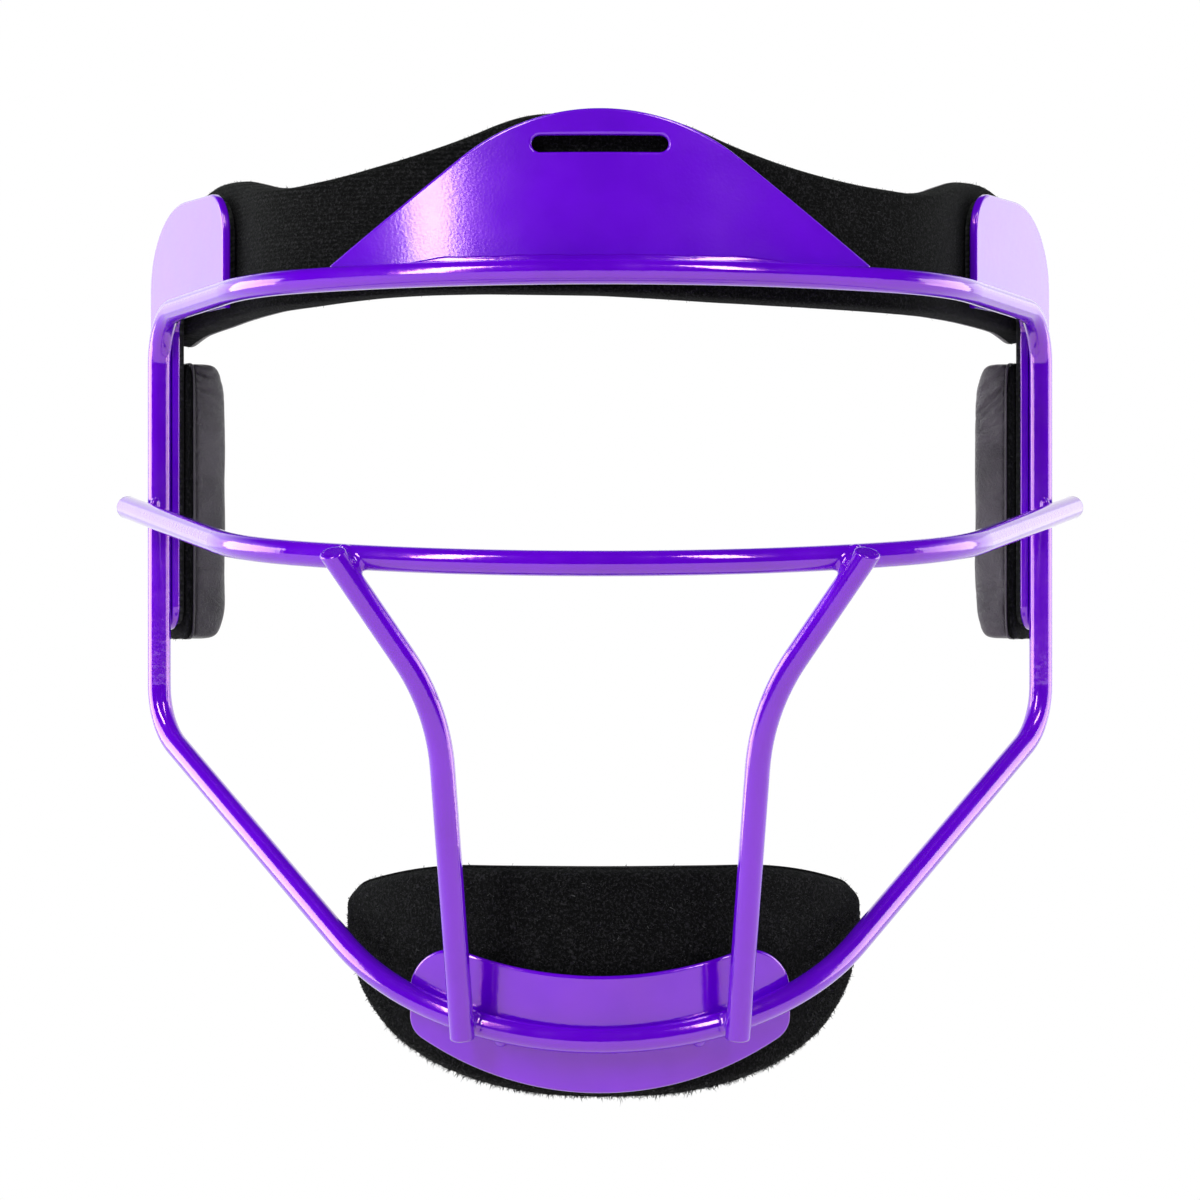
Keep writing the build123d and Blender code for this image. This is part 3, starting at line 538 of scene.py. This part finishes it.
cheek_run = cheek_wire.front * cheek_wire.turn + cheek_wire.corner * (cheek_wire.full - cheek_wire.turn)
corner_end = cheek_wire.plan(cheek_run)[1]
cheek_end = cheek_run + (6.5 - corner_end) / cos(CHEEK_FLARE)
end_place, end_before = cheek_wire.point(cheek_end), cheek_wire.point(cheek_end - 5)
foot_place = nose_bottom - nose_foot * 3.2
for name, place, along, rise in (
    ("cheek_bar_end", end_place, end_place - end_before, 0.35),
    ("nose_foot_end", foot_place, -nose_foot, 0.7),
):
    left = wire_end("left_" + name, place, along, rise)
    right = mirrored(left, "right_" + name)
    for piece in (left, right):
        finish_piece(piece, "frame", coat, "cage")


# ---------------------------------------------------------------- pads
CLOTH_FRAMES, CLOTH_GROWTH = 18, 0.02


def cushion(name, points, faces, pinned, pressure, cap):
    """Blow up the free side of a closed skin by a short cloth simulation.

    Points that are pinned stay, and no point moves further than the cap, in millimetres.
    """
    piece = build(name, points, faces)
    rest = np.array([v.co for v in piece.data.vertices])
    group = piece.vertex_groups.new(name="held")
    for i, held in enumerate(pinned):
        if held > 0:
            group.add([i], float(held), "REPLACE")
    modifier = piece.modifiers.new("cloth", "CLOTH")
    settings = modifier.settings
    settings.vertex_group_mass = "held"
    settings.quality = 6
    settings.mass = 0.2
    settings.tension_stiffness = settings.compression_stiffness = 12
    settings.bending_stiffness = 0.15
    settings.shrink_min = -CLOTH_GROWTH
    settings.use_pressure = True
    settings.uniform_pressure_force = pressure
    settings.effector_weights.gravity = 0
    modifier.collision_settings.use_collision = False
    modifier.point_cache.frame_start, modifier.point_cache.frame_end = 1, CLOTH_FRAMES
    scene = bpy.context.scene
    for step in range(1, CLOTH_FRAMES + 1):
        scene.frame_set(step)
    apply_all(piece)
    moved = np.array([v.co for v in piece.data.vertices])
    shift = moved - rest
    size = np.linalg.norm(shift, axis=1, keepdims=True)
    shift *= np.minimum(1, cap * MM / np.maximum(size, 1e-9))
    shift *= (1 - np.array(pinned))[:, None]
    piece.data.vertices.foreach_set("co", (rest + shift).ravel())
    piece.data.update()
    scene.frame_set(1)
    return piece


def quarter_round(distance, radius):
    """Depth of a rounded edge at a distance from it, as a share of its radius."""
    share = np.clip(distance / radius, 0, 1)
    return np.sqrt(1 - (1 - share) ** 2)


def smooth(value):
    """Rise from 0 to 1 with level ends."""
    value = np.clip(value, 0, 1)
    return value * value * (3 - 2 * value)


def to_outline(places, outline):
    """Distance in the flat pattern from each place to the outline."""
    best = np.full(len(places), 1e9)
    for start, end in zip(outline, np.roll(outline, -1, axis=0)):
        run = end - start
        if run @ run < 1e-9:
            continue
        along = np.clip(((places - start) @ run) / (run @ run), 0, 1)
        best = np.minimum(best, np.hypot(*(places - start - along[:, None] * run).T))
    return best


def pad_grids(low, high, lengths, rows, place, front, back):
    """Front and back sheets of a pad that fills a flat pattern between two lines."""
    shares = (1 - np.cos(np.linspace(0, pi, rows))) / 2

    def column(t):
        return [[t, low(t) + (high(t) - low(t)) * s] for s in shares]

    flat = np.array([point for t in lengths for point in column(t)])
    outline = np.array(
        [[t, low(t)] for t in lengths] + column(lengths[-1])
        + [[t, high(t)] for t in lengths[::-1]] + column(lengths[0])[::-1]
    )
    count = len(lengths)
    border = np.zeros((count, rows), bool)
    border[0] = border[-1] = border[:, 0] = border[:, -1] = True
    border = border.ravel()
    distance = np.where(border, 0, to_outline(flat, outline))
    quads = [
        [i * rows + j, (i + 1) * rows + j, (i + 1) * rows + j + 1, i * rows + j + 1]
        for i in range(count - 1) for j in range(rows - 1)
    ]
    sheets = [
        np.array([place(t, z, depth(t, z, d)) for (t, z), d in zip(flat, distance)]) for depth in (front, back)
    ]
    return flat, distance, border, quads, sheets


def closed_pair(first, second, border, quads):
    """Join two sheets along their shared border."""
    keep = ~border
    renumber = np.cumsum(keep) - 1 + len(first)
    index = np.where(border, np.arange(len(first)), renumber)
    points = np.vstack([first, second[keep]])
    return points, quads + [[int(index[i]) for i in q[::-1]] for q in quads]


def spread(half, steps, inner, count):
    """Lengths across a pad, closer together near both ends."""
    ends = np.cumsum(steps)
    return np.concatenate([-half + ends, np.linspace(-half + inner, half - inner, count), half - ends[::-1]])


def sew_pad(name, front_look, pattern, place, seam, inner_inset, core_inset):
    """Cloth that wraps the front and the rim, and a cushion whose skin closes the back."""
    flat, distance, border, quads, (front, rear) = pattern
    rear[border] = front[border] = np.array([place(t, z, s) for (t, z), s in zip(flat[border], seam)])
    inner = np.array([place(t, z, inner_inset) for t, z in flat])
    inner[border] = front[border]
    front_cloth = build(name + "_cloth", *closed_pair(front, inner, border, quads))
    core = np.array([place(t, z, core_inset) for t, z in flat])
    core[border] = rear[border]
    held = np.concatenate([np.ones(len(core)), 1 - smooth(distance[~border] / 2.5) * 0.999])
    back = cushion(name + "_cushion", *closed_pair(core, rear, border, quads), held, 5.0, 1.2)
    for piece in (front_cloth, back):
        subdivide(piece)
    body = name + "_pad"
    finish_piece(front_cloth, body, front_look, "loop_cloth", body + "_facing")
    finish_piece(back, body, skin, "lining", body + "_foam", body + "_lining")
    return front_cloth


def fluff_on(name, piece, count, length, seed, choose, thick=1.0):
    """Short fibres that stand out of a cloth, as thin bent blades in one mesh.

    choose weighs each triangle by its middle and its normal.
    """
    rng = np.random.default_rng(seed)
    mesh = piece.data
    mesh.calc_loop_triangles()
    corners = np.array([t.vertices for t in mesh.loop_triangles])
    places = np.array([v.co for v in mesh.vertices]) / MM
    normals = np.array([v.normal for v in mesh.vertices])
    a, b, c = (places[corners[:, i]] for i in range(3))
    area = np.linalg.norm(np.cross(b - a, c - a), axis=1) / 2
    weight = area * choose((a + b + c) / 3, normals[corners].mean(1))
    picked = rng.choice(len(corners), count, p=weight / weight.sum())
    u, v = rng.random(count), rng.random(count)
    flip = u + v > 1
    u[flip], v[flip] = 1 - u[flip], 1 - v[flip]
    roots = a[picked] + (b - a)[picked] * u[:, None] + (c - a)[picked] * v[:, None]
    out = normals[corners[picked]].mean(1)
    tilt = rng.normal(0, 0.75, (count, 3))
    way = out + tilt
    way /= np.linalg.norm(way, axis=1, keepdims=True)
    size = length * rng.lognormal(0, 0.35, count)[:, None]
    bend = np.cross(way, rng.normal(0, 1, (count, 3)))
    bend /= np.linalg.norm(bend, axis=1, keepdims=True)
    width = np.cross(way, bend) * rng.uniform(0.03, 0.055, count)[:, None] * thick
    middle = roots + way * size * 0.55 + bend * size * 0.12
    tip = roots + way * size * 0.85 + bend * size * 0.5
    roots = roots - out * 0.15
    points = np.stack([roots - width, roots + width, middle - width * 0.8, middle + width * 0.8, tip], 1)
    faces = []
    for i in range(count):
        k = i * 5
        faces += [[k, k + 1, k + 3, k + 2], [k + 2, k + 3, k + 4]]
    return build(name, points.reshape(-1, 3), faces, smooth=False)


# Forehead pad: its top and bottom edges by distance from the mid-plane, along the brow curve
PAD_END, TOP_CORNER, LOW_CORNER = 14.6, 15.0, 1.5
reference = brow_at(56.0)
table = np.linspace(0, 170, 1701)
across = np.array([reference.plan(t, PAD_FACE)[0] for t in table])
behind = np.array([reference.plan(t, PAD_FACE)[1] for t in table])
pad_length = table[np.argmin(abs(behind - 14.4) + (table < 60) * 99)]
outline_x = np.array([0, 10, 15, 20, 26, 33, 40, 47, 54, 60, 65.5, 70, 74, 77.5, 80.5, 83.5, 87, 90.5, 94, 99])
outline_z = np.array([
    77.8, 77.8, 77.2, 75.7, 73.2, 70.7, 68.6, 66.9, 65.5, 64.7,
    64.3, 65.0, 66.7, 68.2, 68.6, 68.0, 66.2, 63.0, 58.5, 53.5,
])
lower_x = np.array([0, 20, 33, 45.6, 54.6, 60, 66, 72, 76.3, 80, 83.2, 86.6, 88.5, 90.5, 93, 96])
lower_z = np.array([40.8, 40.5, 40.3, 39.95, 39.5, 39.2, 39.0, 38.9, 38.8, 38.6, 38.3, 38.0, 37.8, 37.5, 36.6, 35.2])
# The pad is stuck on a little askew
askew_x = np.array([0, 12, 24, 36, 46, 54, 61, 69, 75, 80, 84, 90])
askew_z = np.array([0, -0.4, -0.85, -1.05, -1.05, -0.85, -0.65, -0.5, -0.25, 0.0, 0.2, 0.35])


def hermite(x, xs, ys):
    """Height at x on a smooth curve through given places, level past its ends."""
    slopes = np.gradient(ys, xs)
    i = int(np.clip(np.searchsorted(xs, x) - 1, 0, len(xs) - 2))
    h = xs[i + 1] - xs[i]
    s = min(max((x - xs[i]) / h, 0), 1)
    return (
        (2 * s**3 - 3 * s**2 + 1) * ys[i] + (s**3 - 2 * s**2 + s) * h * slopes[i]
        + (3 * s**2 - 2 * s**3) * ys[i + 1] + (s**3 - s**2) * h * slopes[i + 1]
    )


def rounding(y, rear, radius):
    """How far a corner at the rear end takes the edge in at a place along it."""
    share = min(max((y - (rear - radius)) / radius, 0), 1)
    return radius * (1 - sqrt(1 - share * share))


def forehead_edge(t, xs, zs):
    """Height of an edge, askew as the pad is, and how far back the pad's face is there."""
    x, y = np.interp(abs(t), table, across), np.interp(abs(t), table, behind)
    return hermite(x, xs, zs) + np.sign(t) * np.interp(x, askew_x, askew_z), y


def forehead_high(t):
    z, y = forehead_edge(t, outline_x, outline_z)
    return z - rounding(y, PAD_END, TOP_CORNER)


def forehead_low(t):
    z, y = forehead_edge(t, lower_x, lower_z)
    return z + rounding(y, PAD_END, LOW_CORNER)


def forehead_place(t, z, inset):
    x, y = brow_at(z).plan(t, inset)
    return x, y, z


ripple = np.random.default_rng(11).uniform(0, 6, 2)


def forehead_front(t, z, d):
    swell = 0.25 * sin(t * 0.11 + ripple[0]) * sin(z * 0.2 + ripple[1])
    return PAD_FACE + 0.35 + 0.12 * swell + 1.3 * (1 - quarter_round(d, 1.5)) + 2.9 * (1 - min(d / 0.5, 1))


def forehead_rear(t, z, d):
    crown = 2.6 * quarter_round(d, 3.0) + 1.4 * smooth((d - 1) / 12)
    return PAD_FACE + 4.5 + crown - 0.35 * (1 - smooth(abs(t) / 8))


pattern = pad_grids(
    forehead_low, forehead_high, spread(pad_length, [0, 0.3, 0.6, 0.9, 1.3], 4.6, 119), 23,
    forehead_place, forehead_front, forehead_rear,
)
seam = np.full(pattern[2].sum(), PAD_FACE + 4.6)
forehead_cloth = sew_pad(
    "forehead", knit, pattern, forehead_place, seam, PAD_FACE + 3.6, PAD_FACE + 4.0
)


# Chin pad: a boat-shaped cup behind the chin plate, stuck on a little to one side
jaw_depth = CHIN_SLOPE - CHIN_RADIUS
chin_half = CHIN_RADIUS * cos(acos(CHIN_RADIUS / hypot(HALF_WIDTH, jaw_depth)) - atan2(jaw_depth, HALF_WIDTH))
plate_half = chin_half * 0.735
plate_drop = (CHIN_RADIUS - sqrt(CHIN_RADIUS**2 - plate_half**2)) * CHIN_REACH / CHIN_SLOPE
plan_radius = (plate_half**2 + plate_drop**2) / (2 * plate_drop)
plate_turn = asin(plate_half / plan_radius)
pad_half = chin_half + 2.3


def chin_place(t, z, inset):
    t = t + CHIN_SHIFT
    side, length = (1 if t >= 0 else -1), abs(t)
    angle = length / plan_radius
    x0, y0 = 0.0, plan_radius - CHIN_REACH
    radius = plan_radius
    if angle > plate_turn:
        step = plan_radius - CHIN_END_RADIUS
        x0, y0 = step * sin(plate_turn), y0 - step * cos(plate_turn)
        angle = plate_turn + (length - plan_radius * plate_turn) / CHIN_END_RADIUS
        radius = CHIN_END_RADIUS
    return side * (x0 + (radius - inset) * sin(angle)), y0 - (radius - inset) * cos(angle), z


chin_table = np.linspace(0, 90, 901)
chin_across = np.array([chin_place(t - CHIN_SHIFT, 0, PAD_FACE)[0] for t in chin_table])
chin_length = np.interp(pad_half - 0.2, chin_across, chin_table)
low_x = np.array([0, 8, 16, 24, 32, 36, 40, 43, 45.5, 47.4, 49.4, 51.3, 52.6, 53.4])
low_z = np.array([
    -118.9, -118.75, -118.2, -116.9, -114.7, -113.2, -111.1, -109.2, -107.0, -104.8, -102.0, -98.4, -94.0, -89.0,
])


def chin_low(t):
    return hermite(np.interp(abs(t), chin_table, chin_across), low_x, low_z)


def chin_high(t):
    x = np.interp(abs(t), chin_table, chin_across)
    return -72.95 - 0.0084 * max(x - 28, 0) ** 2 - rounding(x, 53.9, 3.8)


def chin_front(t, z, d):
    return PAD_FACE + 0.35 + 2.4 * (1 - quarter_round(d, 2.8)) + 1.6 * (1 - min(d / 0.9, 1))


def chin_rear(t, z, d):
    return PAD_FACE + 4.8 + 3.2 * quarter_round(d, 3.5) + 1.9 * smooth((d - 1) / 12)


pattern = pad_grids(
    chin_low, chin_high, spread(chin_length, [0, 0.25, 0.5, 0.8, 1.2], 4.0, 59), 27,
    chin_place, chin_front, chin_rear,
)
# The seam sits nearer the front along the upper corners, where the skin shows from the front
flat, _, border = pattern[:3]
seam = np.array([
    PAD_FACE + 4.9 - 3.2 * float(smooth((z + 84) / 8)) * float(smooth((abs(t) - 14) / 18))
    for t, z in flat[border]
])
chin_cloth = sew_pad("chin", cloth, pattern, chin_place, seam, PAD_FACE + 2.2, PAD_FACE + 2.8)


# Cheek pads: a pillow in leatherette on a flat black backing
RING, RING_POWER, PIPING_SIDES, PIPING_RADIUS = 304, 11.0, 8, 0.26


def cheek_place(w, z, inset, side):
    x = HALF_WIDTH - cos(FLARE) * inset + sin(FLARE) * w
    y = sin(FLARE) * inset + cos(FLARE) * w
    return side * x, y, z


def rounded_ring(half_w, half_z, margin, count):
    """Points round a rectangle with round corners, drawn in without losing their order."""
    points = []
    for i in range(count):
        turn = 2 * pi * i / count
        ray = np.array([cos(turn) * half_w, sin(turn) * half_z])
        size = (abs(ray[0] / half_w) ** RING_POWER + abs(ray[1] / half_z) ** RING_POWER) ** (-1 / RING_POWER)
        x, z = ray * size
        points.append((x * (half_w - margin) / half_w, z * (half_z - margin) / half_z))
    return points


def ring_body(profile, half_w, half_z, count, place):
    """Closed body of rings; count is a multiple of four, so quads can close both ends."""
    points, faces = [], []
    for margin, depth in profile:
        points += [place(x, z, depth) for x, z in rounded_ring(half_w, half_z, margin, count)]
    rings = len(profile)
    for ring in range(rings - 1):
        for i in range(count):
            a, b = ring * count + i, ring * count + (i + 1) % count
            faces.append([a, b, b + count, a + count])
    half, quarter = count // 2, count // 4
    for start in (0, (rings - 1) * count):
        for i in range(1 - quarter, quarter - 1):
            faces.append([start + k % count for k in (i, i + 1, half - i - 1, half - i)])
        faces.append([start + k % count for k in (quarter - 1, quarter, quarter + 1)])
        faces.append([start + k % count for k in (-quarter + 1, -quarter, -quarter - 1)])
    return points, faces


def press_folds(piece, puckers, side):
    """Press folds into the cushion: each starts at the seam, runs across at a lean and fades out."""
    mesh = piece.data
    places = np.empty(len(mesh.vertices) * 3)
    normals = np.empty(len(mesh.vertices) * 3)
    mesh.vertices.foreach_get("co", places)
    mesh.vertices.foreach_get("normal", normals)
    places, normals = places.reshape(-1, 3) / MM, normals.reshape(-1, 3)
    across = places[:, 0] * side - HALF_WIDTH
    depth = -cos(FLARE) * across + sin(FLARE) * places[:, 1]
    z = places[:, 2] - CHEEK_Z
    depth_share = np.clip((depth - 7.9) / 0.8, 0, 1) * np.clip((15.3 - depth) / 3.0, 0, 1)
    fold = np.zeros(len(places))
    for start, lean, wide, size, reach in puckers:
        off = (z - start - lean * (depth - 8)) / wide
        dip = np.exp(-(off**2)) - 0.35 * np.exp(-((abs(off) - 2.2) ** 2))
        fold += size * dip * np.exp(-np.maximum(depth - 8, 0) / reach)
    places -= normals * (fold * depth_share)[:, None] * 0.75
    mesh.vertices.foreach_set("co", (places * MM).ravel())
    mesh.update()


# How far each ring is drawn in, and how deep it lies behind the wires' centre lines
backing = [(6.0, 5.95), (1.0, 5.95), (0.25, 6.15), (0.0, 6.6), (0.25, 7.15), (1.0, 7.35), (6.0, 7.4)]
pillow = [
    (6.0, 7.3), (2.0, 7.35), (0.8, 7.45), (0.3, 7.8), (0.1, 8.4), (0.0, 9.2), (0.0, 10.2), (0.0, 11.2),
    (0.05, 12.2), (0.15, 13.0), (0.4, 13.8), (0.9, 14.4), (1.7, 14.8), (2.9, 14.95), (4.5, 15.0),
    (6.8, 15.0), (8.8, 15.0),
]
piping = [
    (-0.12 - PIPING_RADIUS * sin(a), 7.42 + PIPING_RADIUS * cos(a))
    for a in np.linspace(0, 2 * pi, PIPING_SIDES, endpoint=False)
]
# Height and size of the folds gathered at the ends
end_folds = [(28.3, 1.0), (26.6, 0.9), (24.7, 1.0), (22.8, 0.8), (20.2, 0.6), (16.8, 0.45), (-25.6, 0.4)]

for side, word in ((1, "left"), (-1, "right")):
    body = word + "_cheek_pad"
    rng = np.random.default_rng(20 + side)
    turns = rng.uniform(0, 6, 6)
    folds = [(z, 0.35) for z in rng.uniform(-27, 14, 7)] + end_folds
    puckers = [
        (z, rng.uniform(-0.3, 0.5) - (z > 14) * 0.7, rng.uniform(0.42, 0.6), size * rng.uniform(0.7, 1.1),
         rng.uniform(3.0, 6.0))
        for z, size in folds
    ]

    def pillow_place(w, z, depth):
        """Slow swell of the pillow, with its top and bottom drawn towards the seam."""
        rise = (depth - 7.4) / 7.6
        wave = 0.08 * sin(z * 0.23 + turns[0]) * sin(w * 0.3 + turns[1]) + 0.06 * sin(z * 0.37 + w * 0.5 + turns[2])
        droop = 0.9 * smooth((abs(z) - 22.5) / 7.2)
        return cheek_place(w + CHEEK_W, z + CHEEK_Z, depth + (wave - droop) * smooth(rise * 1.5), side)

    def backing_place(w, z, depth):
        """Flat backing with slightly uneven edges."""
        wave = 0.12 * sin(z * 0.5 + turns[3]) + 0.1 * sin(z * 1.1 + turns[4])
        uneven = w + CHEEK_W + (wave if w < 0 else 0)
        return cheek_place(uneven, z + CHEEK_Z + 0.2 * sin(w * 0.9 + turns[5]), depth, side)

    cheek_cloth = build(word + "_cheek_cloth", *ring_body(backing, CHEEK_HALF + 0.1, 30.0, 120, backing_place))
    held = np.repeat([1.0 if depth < 7.6 else 0.0 for _, depth in pillow], RING)
    cheek_cushion = cushion(
        word + "_cheek_cushion", *ring_body(pillow, CHEEK_HALF, PILLOW_HALF, RING, pillow_place), held, 2.5, 0.25
    )
    for piece in (cheek_cloth, cheek_cushion):
        subdivide(piece)
    press_folds(cheek_cushion, puckers, side)
    points = [
        pillow_place(x, z, depth)
        for margin, depth in piping for x, z in rounded_ring(CHEEK_HALF, PILLOW_HALF, margin, RING)
    ]
    faces = []
    for j in range(PIPING_SIDES):
        this, following = j * RING, (j + 1) % PIPING_SIDES * RING
        for i in range(RING):
            after = (i + 1) % RING
            faces.append([this + i, this + after, following + after, following + i])
    cheek_piping = build(word + "_cheek_piping", points, faces)
    face_out(cheek_piping)
    finish_piece(cheek_piping, body, skin, "lining")
    finish_piece(cheek_cloth, body, cloth, "loop_cloth", word + "_cheek_facing")
    finish_piece(cheek_cushion, body, skin, "lining", word + "_cheek_foam", word + "_cheek_lining")
    edge = fluff_on(word + "_cheek_fluff", cheek_cloth, 1500, 0.5, 30 + side, lambda places, normals: 1.0)
    finish_piece(edge, body, fluff, "loop_cloth")


def chin_nap(places, normals):
    """More fibres along the low edge, few along the top."""
    rim = np.abs(normals[:, 1]) < 0.75
    return np.where(places[:, 2] > -76, 0.1, 1.0) + 7.0 * (rim & (places[:, 2] < -84))


def forehead_nap(places, normals):
    """Hardly any fibres on faces that look back."""
    return np.where(normals[:, 1] > 0.6, 0.05, 1.0)


chin_fluff = fluff_on("chin_fluff", chin_cloth, 30000, 0.72, 40, chin_nap, 1.6)
finish_piece(chin_fluff, "chin_pad", fluff, "loop_cloth")
forehead_fluff = fluff_on("forehead_fluff", forehead_cloth, 9000, 0.35, 41, forehead_nap)
finish_piece(forehead_fluff, "forehead_pad", fluff, "loop_cloth")


# ---------------------------------------------------------------- stage, camera and light
def plain_white(name):
    """Pale floor that the camera and reflections see as white."""
    made = bpy.data.materials.new(name)
    made.use_nodes = True
    tree = made.node_tree
    tree.nodes.clear()
    path = node(tree, "ShaderNodeLightPath").outputs
    seen = path["Is Camera Ray"]
    for ray in ("Is Glossy Ray", "Is Transmission Ray"):
        seen = node(tree, "ShaderNodeMath", {0: seen, 1: path[ray]}, operation="MAXIMUM").outputs[0]
    plain = node(tree, "ShaderNodeBsdfDiffuse", {"Color": (0.8, 0.8, 0.8, 1)}).outputs[0]
    glow = node(tree, "ShaderNodeEmission", {"Color": (1, 1, 1, 1), "Strength": 1.0}).outputs[0]
    mixed = node(tree, "ShaderNodeMixShader", {0: seen, 1: plain, 2: glow}).outputs[0]
    node(tree, "ShaderNodeOutputMaterial", {"Surface": mixed})
    return made


corners = [[6000 * x, 6000 * y, FLOOR] for x, y in ((-1, -1), (1, -1), (1, 1), (-1, 1))]
floor = build("floor", corners, [[0, 1, 2, 3]], False)
floor.data.materials.append(plain_white("white_floor"))

# The room is pale behind the object, and darker in front and overhead, where gloss mirrors it nearly black
world = bpy.data.worlds.new("studio")
bpy.context.scene.world = world
world.use_nodes = True
tree = world.node_tree
tree.nodes.clear()
way = node(tree, "ShaderNodeTexCoord").outputs["Generated"]
parts = node(tree, "ShaderNodeSeparateXYZ", {"Vector": way}).outputs
backdrop = ramp(tree, parts["Y"], -0.05, 0.15, 0.0, 1.0)
below = ramp(tree, parts["Z"], 0.7, 0.5, 0.0, 1.0)
level = node(tree, "ShaderNodeMath", {0: backdrop, 1: below}, operation="MULTIPLY").outputs[0]
mirrored_room = tint(tree, level, (0.014, 0.014, 0.016), (1.0, 1.0, 1.0))
soft_room = tint(tree, level, (0.26, 0.26, 0.27), (0.6, 0.6, 0.6))
path = node(tree, "ShaderNodeLightPath").outputs
colour = soft_room
for ray, seen in (("Is Glossy Ray", mirrored_room), ("Is Camera Ray", (1, 1, 1, 1))):
    colour = node(tree, "ShaderNodeMix", {0: path[ray], 6: colour, 7: seen}, data_type="RGBA").outputs[2]
studio = node(tree, "ShaderNodeBackground", {"Color": colour, "Strength": 1.0}).outputs[0]
node(tree, "ShaderNodeOutputWorld", {"Surface": studio})


def panel(name, turn, rise, distance, size, power):
    """Soft box at a turn from the front and a rise, facing the object."""
    light = bpy.data.lights.new(name, "AREA")
    light.shape, light.energy = "RECTANGLE", power
    light.size, light.size_y = size
    light.color = (0.9, 1.0, 0.93)
    lamp = bpy.data.objects.new(name, light)
    turn, rise = radians(turn), radians(rise)
    way = Vector((sin(turn) * cos(rise), -cos(turn) * cos(rise), sin(rise)))
    lamp.location = way * distance + Vector((0, -0.04, 0))
    lamp.rotation_euler = way.to_track_quat("Z", "Y").to_euler()
    lamp.visible_camera = False
    bpy.context.scene.collection.objects.link(lamp)


panel("left_side_box", -98, 5, 1.1, (0.8, 0.9), 10)
panel("right_side_box", 98, 5, 1.1, (0.8, 0.9), 6.5)
panel("left_key", -37, 36, 1.4, (0.24, 0.95), 9.5)
panel("right_key", 31, 45, 1.4, (0.2, 0.7), 5.5)
panel("left_rear_box", -135, 5, 1.3, (0.6, 0.8), 0.9)
panel("right_rear_box", 135, 5, 1.3, (0.6, 0.8), 1.1)

# The photograph's camera: focal length and picture width in pixels, and the sensor in millimetres
FOCAL, PICTURE, SENSOR = 4218.0, 1200, 36.0
camera = bpy.data.cameras.new("camera")
camera.sensor_width = SENSOR
camera.lens = FOCAL / PICTURE * SENSOR
camera.clip_start, camera.clip_end = 0.05, 30
eye = bpy.data.objects.new("camera", camera)
eye.location = (0, -0.913, -0.020)
eye.rotation_euler = (pi / 2, 0, 0)
bpy.context.scene.collection.objects.link(eye)
bpy.context.scene.camera = eye
bpy.context.scene.view_settings.view_transform = "Standard"
